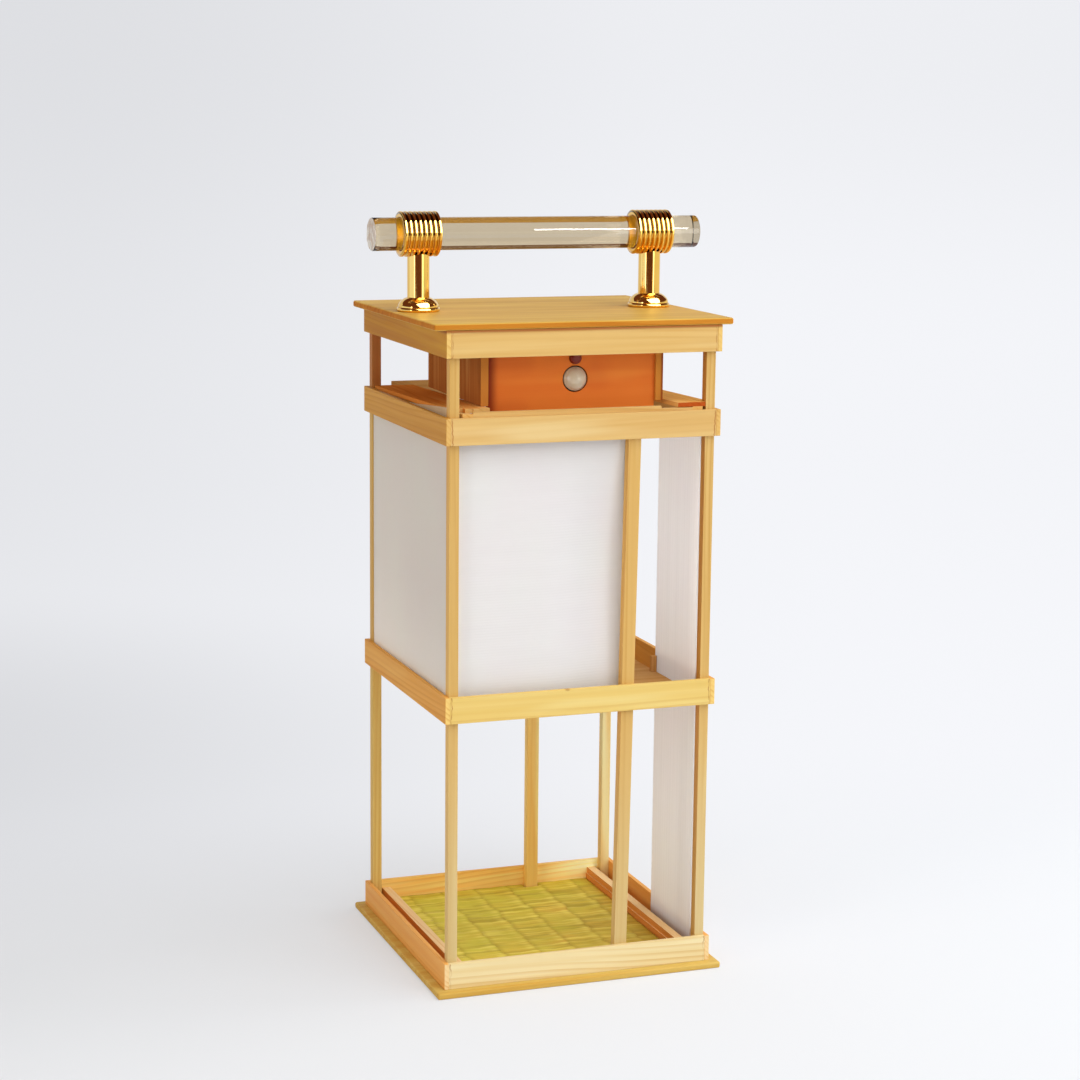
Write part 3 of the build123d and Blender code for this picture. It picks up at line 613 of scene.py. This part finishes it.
papers = {
    "tint": (235, 236, 236), "shade": (235, 232, 235), "glowTint": (250, 246, 238),
    "glow": {"front": 0.16, "back": 0.3, "left": 0.34, "right": 0.26},
    "lowShade": {"side": "right", "dark": 0.95, "from": 0.15, "to": 0.27},      # painted shade: darker below the shelf
    "paleFootLight": {"side": "left", "pale": 0.13, "from": 0.225, "to": 0.31},       # painted light: paler at its foot
    # painted shade on its top edge, where it stands above the upper rail
    "shadedTop": {"side": "left", "tint": (0.86, 0.66, 0.44, 1.0), "from": 0.4355, "to": 0.4375},
    "fibreRough": 0.88, "sheen": 0.15, "step": 4.0 * mm,
}
sheets = {      # outer edges in mm
    "front": {"left": -102.0, "low": 213.0, "high": 426.0, "face": -97.0, "bow": 7.0, "thick": 0.9},
    "back": {"left": -102.0, "right": 38.0, "low": 213.0, "high": 426.0, "face": 96.8, "thick": 0.9},
    "left": {"face": -103.4, "front": -96.7, "back": 96.7, "low": 213.3, "highFront": 443.7, "highBack": 428.6,
             "thick": 0.8},
    "right": {"face": 104.2, "front": -82.0, "back": -2.0, "low": 5.3, "high": 438.0, "thick": 1.6},
}
leaningStile = {"x": 35.0, "z": 25.0, "lean": 0.8, "covers": 3.0}      # the front sheet's right edge is behind it


def makePaper(side, run, seed, streak=0.02):
    # run: the way the long fibres lie
    bench = Bench("paper on the " + side)
    x, y, z = bench.place()
    level = x + y
    if run == "level":
        fibre = bench.noise(level * 55.0 + seed, z * 900.0, seed, 3.0, 0.6)
        laid = bench.sums("SINE", z * (2 * math.pi / 0.0021) + fibre * 5.0)
        drift = bench.noise(level * 14.0 + seed, z * 130.0, seed, 2.0)
    else:
        fibre = bench.noise(level * 700.0 + seed, z * 40.0, seed, 3.0, 0.6)
        laid = bench.sums("SINE", level * (2 * math.pi / 0.0046) + fibre * 7.0)
        drift = bench.noise(level * 210.0 + seed, z * 5.0, seed, 2.0)
    cloud = bench.noise(x * 18.0 + seed, y * 18.0, z * 18.0, 3.0)
    hair = bench.smooth(bench.noise(level * 260.0, z * 240.0, seed, 4.0, 0.7), 0.62, 0.75)
    tint = bench.blend(bench.clamp(cloud * 2.0 - 0.5), rgb(papers["tint"]), rgb(papers["shade"]))
    streaks = 1.0 + (drift - 0.5) * (streak * 2) + (fibre - 0.5) * streak + laid * (streak * 0.25)
    colour = bench.shade(tint, streaks - hair * 0.03)
    normal = bench.bump(fibre + laid * 0.3, 0.00005)
    lowShade, paleFootLight, shadedTop = papers["lowShade"], papers["paleFootLight"], papers["shadedTop"]
    if side == lowShade["side"]:
        clean = bench.smooth(z, lowShade["from"], lowShade["to"])
        colour = bench.shade(colour, clean * (1.0 - lowShade["dark"]) + lowShade["dark"])
    if side == paleFootLight["side"]:
        colour = bench.shade(colour, bench.under(z, paleFootLight["from"], paleFootLight["to"]) * paleFootLight["pale"] + 1.0)
    if side == shadedTop["side"]:
        colour = bench.tinted(bench.smooth(z, shadedTop["from"], shadedTop["to"]), colour, shadedTop["tint"])
    sheet = bench.principled(Base_Color=colour, Roughness=papers["fibreRough"], Normal=normal,
                             Specular_IOR_Level=papers["sheen"])
    through = bench.node("ShaderNodeBsdfTranslucent", None, {"Color": rgb(papers["glowTint"])})
    return bench.finish(bench.mixed(papers["glow"][side], sheet, through))


def addSheet(side, body, material, corner, away, across, rise):
    # corner(u, v) gives a point of the outer face, u across and v up; away points to the inner face
    form = bmesh.new()
    columns = max(2, round(across / papers["step"]))
    rows = max(2, round(rise / papers["step"]))
    inward = Vector(away) * (sheets[side]["thick"] * mm)
    front, rear = [[[form.verts.new(corner(u / columns, v / rows) + inward * back) for u in range(columns + 1)]
                    for v in range(rows + 1)] for back in (0, 1)]
    for v in range(rows):
        for u in range(columns):
            form.faces.new((front[v][u], front[v][u + 1], front[v + 1][u + 1], front[v + 1][u]))
            form.faces.new((rear[v][u], rear[v + 1][u], rear[v + 1][u + 1], rear[v][u + 1]))
    for v in range(rows):
        for u in (0, columns):
            form.faces.new((front[v][u], front[v + 1][u], rear[v + 1][u], rear[v][u]))
    for u in range(columns):
        for v in (0, rows):
            form.faces.new((front[v][u], front[v][u + 1], rear[v][u + 1], rear[v][u]))
    name = "paper" + side.capitalize()
    piece = addPiece(name, fromBmesh(name, form), [material], body, ["panel_" + side])
    piece.data.set_sharp_from_angle(angle=math.radians(50))


def ease(value):
    value = min(1.0, max(0.0, value))
    return value * value * (3 - 2 * value)


def between(low, high, part):
    return low + (high - low) * part


def frontCorner(u, v):
    # it has come away from the frame behind the stile, most of all at mid height
    sheet, stile = sheets["front"], leaningStile
    z = between(sheet["low"], sheet["high"], v)
    right = stile["x"] + (z - stile["z"]) * math.tan(math.radians(stile["lean"])) + stile["covers"]
    x = between(sheet["left"], right, u)
    come = ease((x + 30.0) / 62.0)
    loose = 0.62 + 0.38 * ease(v / 0.45) if v < 0.45 else 1.0 - ease((v - 0.5) / 0.5)
    ripple = 0.25 * noise.noise(Vector((x / 46.0, z / 60.0, 3.0))) * ease((x + 100.0) / 30.0)
    return Vector((x, sheet["face"] + sheet["bow"] * come * loose + ripple, z)) * mm


def backCorner(u, v):
    sheet = sheets["back"]
    x, z = between(sheet["left"], sheet["right"], u), between(sheet["low"], sheet["high"], v)
    return Vector((x, sheet["face"] - 0.2 * noise.noise(Vector((x / 50.0, z / 60.0, 9.0))), z)) * mm


def leftCorner(u, v):
    sheet = sheets["left"]
    top = between(sheet["highFront"], sheet["highBack"], u)
    return Vector((sheet["face"], between(sheet["front"], sheet["back"], u), between(sheet["low"], top, v))) * mm


def rightCorner(u, v):
    sheet = sheets["right"]
    y, z = between(sheet["front"], sheet["back"], u), between(sheet["low"], sheet["high"], v)
    return Vector((sheet["face"], y, z)) * mm


def addPapers():
    addSheet("front", "lantern", makePaper("front", "level", 1.0), frontCorner, (0, 1, 0), 0.143, 0.213)
    addSheet("back", "lantern", makePaper("back", "level", 4.0), backCorner, (0, -1, 0), 0.140, 0.213)
    addSheet("left", "left_panel", makePaper("left", "upright", 7.0, 0.012), leftCorner, (1, 0, 0), 0.193, 0.230)
    addSheet("right", "right_panel", makePaper("right", "upright", 11.0, 0.06), rightCorner, (-1, 0, 0), 0.080, 0.4327)


addPapers()
print("papers: four sheets")


mat = {      # sizes in mm; strands lie along x and dip under the warp cords, which run along y
    "halfX": 86.2, "halfY": 104.2, "low": 5.0, "top": 9.6, "columns": 150, "rows": 540,
    "warp": 28.7, "strand": 1.3, "relief": 0.12, "groove": 0.2, "grooveHalf": 2.2, "pillow": 0.09,
    # the palest tint is partly painted highlight on the strands, and the dark one also paints shade
    "green": (216, 206, 74), "straw": (220, 184, 74), "dark": (148, 116, 22), "paleStrandGlint": (246, 234, 112),
    "strawFrom": -0.5, "strawTo": 0.6, "shadeFrom": 0.3, "shadeTo": 0.85, "rough": 0.55, "sheen": 0.2,
    "notches": ((29.2, 40.4, -1), (29.4, 40.6, 1)), "notchFrom": 96.4,      # round the two stiles
}


def makeRush(name):
    bench = Bench(name)
    x, y, z = bench.place()
    green, straw, dark, paleStrandGlint = [rgb(mat[tint]) for tint in ("green", "straw", "dark", "paleStrandGlint")]
    bend = (bench.noise(y * 60.0, 4.0, 0.0, 2.0) - 0.5) * 0.009
    place = (x + bend) * (1000.0 / mat["warp"]) + 0.5
    column = bench.sums("FLOOR", place)
    across = place - column      # 0 to 1 from one warp cord to the next
    fibre = bench.noise(x * 30.0, y * 2600.0, z * 300.0, 3.0, 0.6)
    pale = bench.noise(x * 16.0 + column * 3.7, y * 200.0, 2.0, 2.0)
    dull = bench.noise(x * 14.0 + column * 1.9, y * 150.0, 12.0, 2.0)
    thin = bench.noise(x * 22.0 + column * 5.3, y * 520.0, 5.0, 2.0)
    patch = bench.noise(x * 20.0 + column * 0.8, y * 40.0, 7.0, 2.0)
    right = bench.smooth(x * 4.5 - y * 3.0, mat["strawFrom"], mat["strawTo"])
    colour = bench.blend(bench.clamp(right * 0.7 + (patch - 0.5) * 1.8), green, straw)
    # paler and darker strands; the palest are partly painted highlights
    colour = bench.blend(bench.smooth(pale, 0.50, 0.66) * 0.6, colour, paleStrandGlint)
    colour = bench.blend(bench.smooth(dull, 0.46, 0.70) * 0.42, colour, dark)
    colour = bench.blend(bench.smooth(thin, 0.58, 0.70) * 0.5, colour, paleStrandGlint)
    # painted shade in the seams at the warp cords
    seamShade = bench.under(across, 0.0, 0.16) + bench.smooth(across, 0.93, 1.0)
    colour = bench.blend(bench.clamp(seamShade) * (patch * 0.45), colour, dark)
    # painted highlight on the ridge beside each seam
    ridgeHighlight = bench.smooth(across, 0.66, 0.86) * bench.under(across, 0.88, 0.97)
    colour = bench.blend(ridgeHighlight * bench.smooth(pale + thin, 0.8, 1.2) * 0.5, colour, paleStrandGlint)
    shaded = bench.smooth(x * 6.0 - y * 5.0, mat["shadeFrom"], mat["shadeTo"])
    colour = bench.blend(shaded * 0.6, colour, dark)
    colour = bench.shade(colour, 1.02 + (fibre - 0.5) * 0.16 + (patch - 0.5) * 0.2)
    return bench.finish(bench.principled(Base_Color=colour, Roughness=mat["rough"] + fibre * 0.2,
                                         Normal=bench.bump(fibre + pale, 0.00015), Specular_IOR_Level=mat["sheen"]))


def matHeight(x, y):
    bend = 2.4 * noise.noise(Vector((y / 17.0, 4.0, 0.0)))
    place = (x + bend) / mat["warp"]
    column = math.floor(place)
    slide = y + 1.2 * noise.noise(Vector((x / 13.0, y / 9.0, 2.0)))
    row = math.floor(slide / mat["strand"])
    inRow = (slide / mat["strand"] - row) * 2 - 1
    crown = math.sqrt(max(0.0, 1 - (inRow * 0.92) ** 2))
    gap = abs(place - round(place)) * mat["warp"]
    dip = math.exp(-(gap / mat["grooveHalf"]) ** 2)
    pillow = mat["pillow"] * math.cos(2 * math.pi * (place - 0.5))
    lift = 0.12 * noise.noise(Vector((x / 14.0 + column * 0.4, y / 2.6, 6.0)))
    swell = 0.16 * noise.noise(Vector((x / 26.0 + column * 1.3, y / 7.0, 8.0)))
    height = mat["top"] - 0.6 + mat["relief"] * (crown - 0.5) + pillow - mat["groove"] * dip + lift + swell
    return min(mat["top"], height)


def addMat():
    form = bmesh.new()
    halfX, halfY, columns, rows = mat["halfX"], mat["halfY"], mat["columns"], mat["rows"]

    def spot(i, j):
        return -halfX + 2 * halfX * i / columns, -halfY + 2 * halfY * j / rows

    def notched(i, j):
        x, y = spot(i, j)
        return any(low < x < high and y * side > mat["notchFrom"] for low, high, side in mat["notches"])

    tops = []
    for j in range(rows + 1):
        places = [spot(i, j) for i in range(columns + 1)]
        tops.append([form.verts.new((x * mm, y * mm, matHeight(x, y) * mm)) for x, y in places])
    for j in range(rows):
        for i in range(columns):
            if not any(notched(i + a, j + b) for a in (0, 1) for b in (0, 1)):
                form.faces.new((tops[j][i], tops[j][i + 1], tops[j + 1][i + 1], tops[j + 1][i]))
    bmesh.ops.delete(form, geom=[vert for vert in form.verts if not vert.link_faces], context="VERTS")
    rim = [edge for edge in form.edges if edge.is_boundary]
    down = {}
    for edge in rim:
        for vert in edge.verts:
            if vert not in down:
                down[vert] = form.verts.new((vert.co.x, vert.co.y, mat["low"] * mm))
    for edge in rim:
        a, b = edge.verts
        form.faces.new((a, b, down[b], down[a]))
    addPiece("tatamiMat", fromBmesh("tatamiMat", form), [makeRush("woven rush")], "lantern", ["tatami_mat"])


addMat()
print("mat: woven")


sensor = {
    "x": 0.001, "plateFront": -0.081, "lensHeight": 0.46015, "lensRadius": 0.009, "bulge": 0.0055, "barrel": 0.0044,
    "milk": (214, 198, 172), "milkDeep": (198, 184, 158), "gloss": 0.5, "coat": 0.6,
}


def makeLens(name):
    bench = Bench(name)
    x, y, z = bench.place()
    mottle = bench.noise(x * 500.0, y * 500.0, z * 500.0, 2.0)
    cloud = bench.noise(x * 120.0, y * 120.0, z * 120.0, 2.0)
    colour = bench.blend(cloud, rgb(sensor["milk"]), rgb(sensor["milkDeep"]))
    return bench.finish(bench.principled(
        Base_Color=colour, Roughness=0.12 + mottle * 0.08, Normal=bench.bump(mottle, 0.00003),
        Specular_IOR_Level=sensor["gloss"], Coat_Weight=sensor["coat"], Coat_Roughness=0.05))


def addLens():
    # a dome of small flat fields, as a motion sensor's lens has, on the barrel behind it
    form = bmesh.new()
    radius, bulge, front = sensor["lensRadius"], sensor["bulge"], sensor["plateFront"]
    ball = (radius ** 2 + bulge ** 2) / (2 * bulge)
    rings, segments = 5, 30
    profile = [(front - bulge, 0.0)]
    for ring in range(1, rings + 1):
        out = radius * ring / rings
        profile.append((front - bulge + ball - math.sqrt(ball ** 2 - out ** 2), out))
    profile += [(front + sensor["barrel"], radius), (front + sensor["barrel"], 0.0)]
    turned(form, profile, (sensor["x"], 0.0, sensor["lensHeight"]), axis="Y", segments=segments)
    bmesh.ops.remove_doubles(form, verts=form.verts, dist=1e-7)
    mesh = fromBmesh("sensorLens", form)
    addPiece("sensorLens", mesh, [makeLens("milky lens")], "lantern", ["sensor_lens"], smooth=False)


addLens()


smallParts = {      # finish, tint, roughness, specks a metre
    "light_diffuser": ("milky diffuser", (238, 236, 228), 0.5, 500.0),
    "mode_button": ("dark red button", (124, 40, 18), 0.3, 800.0),
    "sensor_board": ("sensor board", (34, 92, 52), 0.4, 700.0),
    "led_board": ("lamp board", (34, 92, 52), 0.4, 700.0),
    "leds": ("lamp resin", (244, 238, 196), 0.15, 700.0),
    "led_spacers": ("black spacers", (28, 28, 30), 0.4, 700.0),
    "battery_holder": ("black holder", (28, 28, 30), 0.45, 700.0),
    "battery_cells": ("cell sleeve", (70, 96, 120), 0.35, 500.0),
    "handle_screws": ("zinc screws", (190, 190, 192), 0.3, 900.0),
    "back_plate_screws": ("small zinc screws", (190, 190, 192), 0.3, 900.0),
}


def makePlain(name, tint, roughness, specks):
    bench = Bench(name)
    x, y, z = bench.place()
    speck = bench.noise(x * specks, y * specks, z * specks, 3.0, 0.6)
    colour = bench.shade(rgb(tint), 0.94 + speck * 0.12)
    normal = bench.bump(speck, 0.00001 if "button" in name else 0.00002)
    more = {"Specular_IOR_Level": 0.25} if "button" in name else {"Metallic": 1.0} if "screws" in name else {}
    return bench.finish(bench.principled(
        Base_Color=colour, Roughness=roughness + (speck - 0.5) * 0.1, Normal=normal, **more))


for node, finish in smallParts.items():
    dress(node, makePlain(*finish))
print("light box: lens, button and inner parts")


stage = {
    "floor": (232, 236, 242), "glow": (246, 247, 251), "nearGlow": 0.42, "farGlow": 0.95,
    # dim is a painted shadow on the floor, left of and behind the lantern
    "leftShade": 0.86, "topShade": 0.94, "dim": 0.14, "dimLeft": 0.5, "dimBehind": 0.70, "dimFrom": 0.1, "dimTo": 0.95,
    "front": -5.0, "depth": 2.4, "bend": 1.2, "width": 5.0, "height": 3.0,
}


def seenOnly(bench):
    # 1 for the camera, for mirrors and through glass
    return bench.clamp(bench.ray("Camera") + bench.ray("Glossy") + bench.ray("Transmission"))


def makeStage(name):
    bench = Bench(name)
    x, y, z = bench.place()
    beside = bench.sums("MAXIMUM", bench.smooth(x * -1.0, 0.9, 2.2), bench.smooth(x, 2.4, 3.6))
    before = bench.smooth(y * -1.0, 0.45, 1.1)
    far = bench.sums("MAXIMUM", beside, before) * bench.ray("Camera")      # even light well away from the lamp
    side = bench.sums("MAXIMUM", bench.smooth(x * 0.94 - y * 0.34, -1.1, 0.5), far)
    side = side * (1.0 - stage["leftShade"]) + stage["leftShade"]
    # painted shadow: the floor is dimmer left of and behind the lantern
    offX, offY = x + stage["dimLeft"], y - stage["dimBehind"]
    away = bench.sums("SQRT", offX * offX + offY * offY + z * z)
    side = side * (1.0 - bench.under(away, stage["dimFrom"], stage["dimTo"]) * stage["dim"])
    high = 1.0 - bench.smooth(z, 0.1, 0.75) * (1.0 - stage["topShade"])
    diffuse = bench.node("ShaderNodeBsdfDiffuse", None, {"Color": bench.shade(rgb(stage["floor"]), side)})
    glow = bench.shade(rgb(stage["glow"]), side * high)
    shine = bench.node("ShaderNodeEmission", None, {"Color": glow, "Strength": 1.0})
    share = bench.sums("MAXIMUM", bench.smooth(y + z, -0.02, 0.48), far)
    share = share * (stage["farGlow"] - stage["nearGlow"]) + stage["nearGlow"]
    return bench.finish(bench.mixed(seenOnly(bench) * share, diffuse, shine))


def addStage():
    depth, bend = stage["depth"], stage["bend"]
    profile = [(stage["front"], 0.0), (depth, 0.0)]
    for step in range(1, 25):
        turn = math.pi / 2 * step / 24
        profile.append((depth + bend * math.sin(turn), bend * (1 - math.cos(turn))))
    profile.append((depth + bend, stage["height"]))
    form = bmesh.new()
    rows = [[form.verts.new((x, y, z)) for x in (-stage["width"], stage["width"])] for y, z in profile]
    for low, high in zip(rows, rows[1:]):
        form.faces.new((low[0], low[1], high[1], high[0]))
    mesh = fromBmesh("floorAndBackdrop", form)
    mesh.materials.append(makeStage("pale stage"))
    for face in mesh.polygons:
        face.use_smooth = True
    floor = addObject("floorAndBackdrop", mesh)


metal = ["handleCollars", "handleStemLeft", "handleStemRight", "handleFeet"]
lamps = {
    "softbox": {"place": (0.9, -2.7, 3.2), "size": (3.4, 3.6), "power": 82.0, "unseen": True},
    "overhead": {"place": (0.1, -0.65, 2.7), "aim": (0.0, -0.1, 0.5), "size": (1.8, 1.2), "power": 12.0,
                 "colour": (1.0, 0.98, 0.95), "unseen": True},
    "rightStrip": {"place": (1.1, -2.1, 0.75), "aim": (0.0, 0.0, 0.5), "size": (0.4, 1.3), "power": 4.5},
    "leftStrip": {"place": (-1.9, -1.2, 0.65), "aim": (0.0, 0.0, 0.5), "size": (0.3, 1.2), "power": 3.4},
    "rightFill": {"place": (2.2, -0.2, 1.0), "size": (1.2, 1.4), "power": 26.0,
                  "colour": (1.0, 0.97, 0.93), "unseen": True},
    "leftFill": {"place": (-2.0, -0.9, 0.9), "size": (1.2, 1.4), "power": 9.0,
                 "colour": (1.0, 0.74, 0.42), "unseen": True},
    "metalBox": {"place": (0.66, -1.82, 2.13), "aim": (0.0, 0.0, 0.56), "size": (3.0, 3.0), "power": 190.0,
                 "only": metal, "blocked": metal},
    "boreLight": {"place": (-0.9, -1.8, 1.2), "aim": (0.0, 0.0, 0.56), "size": (0.3, 0.3), "power": 30.0,
                  "only": metal[:1], "blocked": metal[:1], "unseen": True},
    "rodStrip": {"place": (0.83, -1.755, 1.367), "aim": (0.83, 0.0, 0.56), "size": (0.30, 0.26), "power": 8.5,
                 "only": ["handleRod"], "hidden": True},
    "paperFill": {"place": (-0.06, -0.045, 0.33), "aim": (0.1, -0.045, 0.33), "size": (0.16, 0.2), "power": 0.235,
                  "colour": (0.97, 0.97, 1.0), "only": ["paperRight"], "unseen": True, "hidden": True},
    "lowPaperFill": {"place": (-0.06, -0.045, 0.11), "aim": (0.1, -0.045, 0.11), "size": (0.16, 0.2), "power": 0.11,
                     "colour": (0.84, 0.88, 1.0), "only": ["paperRight"], "unseen": True, "hidden": True},
    "backFill": {"place": (0.6, 2.4, 1.6), "size": (1.6, 1.6), "power": 24.0, "only": ["paperBack"], "unseen": True},
}
surround = {      # what mirrors see is a dark room with pale air beside and above
    "seen": (240, 241, 245), "leftAir": (0.36, 0.33, 0.28, 1.0), "rightAir": (0.45, 0.47, 0.485, 1.0),
    "room": (0.13, 0.045, 0.026, 1.0), "leftAside": (0.95, 1.1, 1.4, 1.0), "rightAside": (0.9, 0.86, 0.66, 1.0),
}


def addLamp(name, lamp):
    data = bpy.data.lights.new(name, "AREA")
    data.shape = "RECTANGLE"
    data.size, data.size_y = lamp["size"]
    data.energy = lamp["power"]
    data.color = lamp.get("colour", (1.0, 1.0, 1.0))
    made = addObject(name, data)
    made.location = lamp["place"]
    toward = Vector(lamp.get("aim", (0.0, 0.0, 0.3))) - Vector(lamp["place"])
    made.rotation_euler = toward.to_track_quat("-Z", "Y").to_euler()
    made.visible_camera = False
    made.visible_glossy = not lamp.get("unseen")
    made.visible_transmission = not lamp.get("hidden")
    for key, link in (("only", "receiver_collection"), ("blocked", "blocker_collection")):
        if key in lamp:      # lights these pieces alone, or is held back by these alone
            chosen = bpy.data.collections.new(f"{name} {key}")
            for piece in lamp[key]:
                chosen.objects.link(bpy.data.objects[piece])
            setattr(made.light_linking, link, chosen)


def setWorld():
    # pale for the camera and through glass, a dark room for mirrors, soft grey for everything else
    world = bpy.data.worlds.new("studio air")
    bpy.context.scene.world = world
    bench = Bench("", world)
    x, y, z = bench.split(bench.node("ShaderNodeTexCoord", output="Generated"))
    air = bench.blend(bench.smooth(x, -0.7, 0.5), surround["leftAir"], surround["rightAir"])
    colour = bench.blend(seenOnly(bench), air, rgb(surround["seen"]))
    opening = bench.smooth(x * -0.34 - y * 0.94, 0.76, 0.86)      # the pale side, in front of the lamp
    low = bench.under(z, 0.12, 0.3) * (1.0 - opening)
    aside = bench.blend(bench.smooth(x, -0.3, 0.3), surround["leftAside"], surround["rightAside"])
    colour = bench.blend(bench.ray("Glossy"), colour, bench.blend(low, surround["room"], aside))
    bench.finish(bench.node("ShaderNodeBackground", None, {"Color": colour, "Strength": 1.0}), "ShaderNodeOutputWorld")


view = {      # in metres and degrees; focal length and picture width in pixels
    "place": (-0.65762, -1.82269, 0.67013), "aim": (0.003883, 0.0, 0.324309),
    "roll": 0.575, "focal": 2514.39, "picture": 1080.0, "filmWidth": 36.0, "near": 0.01, "far": 50.0,
}


def addCamera():
    data = bpy.data.cameras.new("camera")
    data.sensor_width = view["filmWidth"]
    data.lens = view["focal"] / view["picture"] * view["filmWidth"]
    data.clip_start, data.clip_end = view["near"], view["far"]
    camera = addObject("camera", data)
    place = Vector(view["place"])
    back = (place - Vector(view["aim"])).normalized()
    right = Vector((0.0, 0.0, 1.0)).cross(back).normalized()
    up = back.cross(right)
    roll = math.radians(view["roll"])
    turnedRight = right * math.cos(roll) + up * math.sin(roll)
    turnedUp = up * math.cos(roll) - right * math.sin(roll)
    turn = Matrix((turnedRight, turnedUp, back)).transposed().to_4x4()
    camera.matrix_world = Matrix.Translation(place) @ turn
    bpy.context.scene.camera = camera


addStage()
for name, lamp in lamps.items():
    addLamp(name, lamp)
setWorld()
addCamera()
bpy.context.scene.view_settings.view_transform = "Standard"
print("studio: stage,", len(lamps), "lamps and camera")
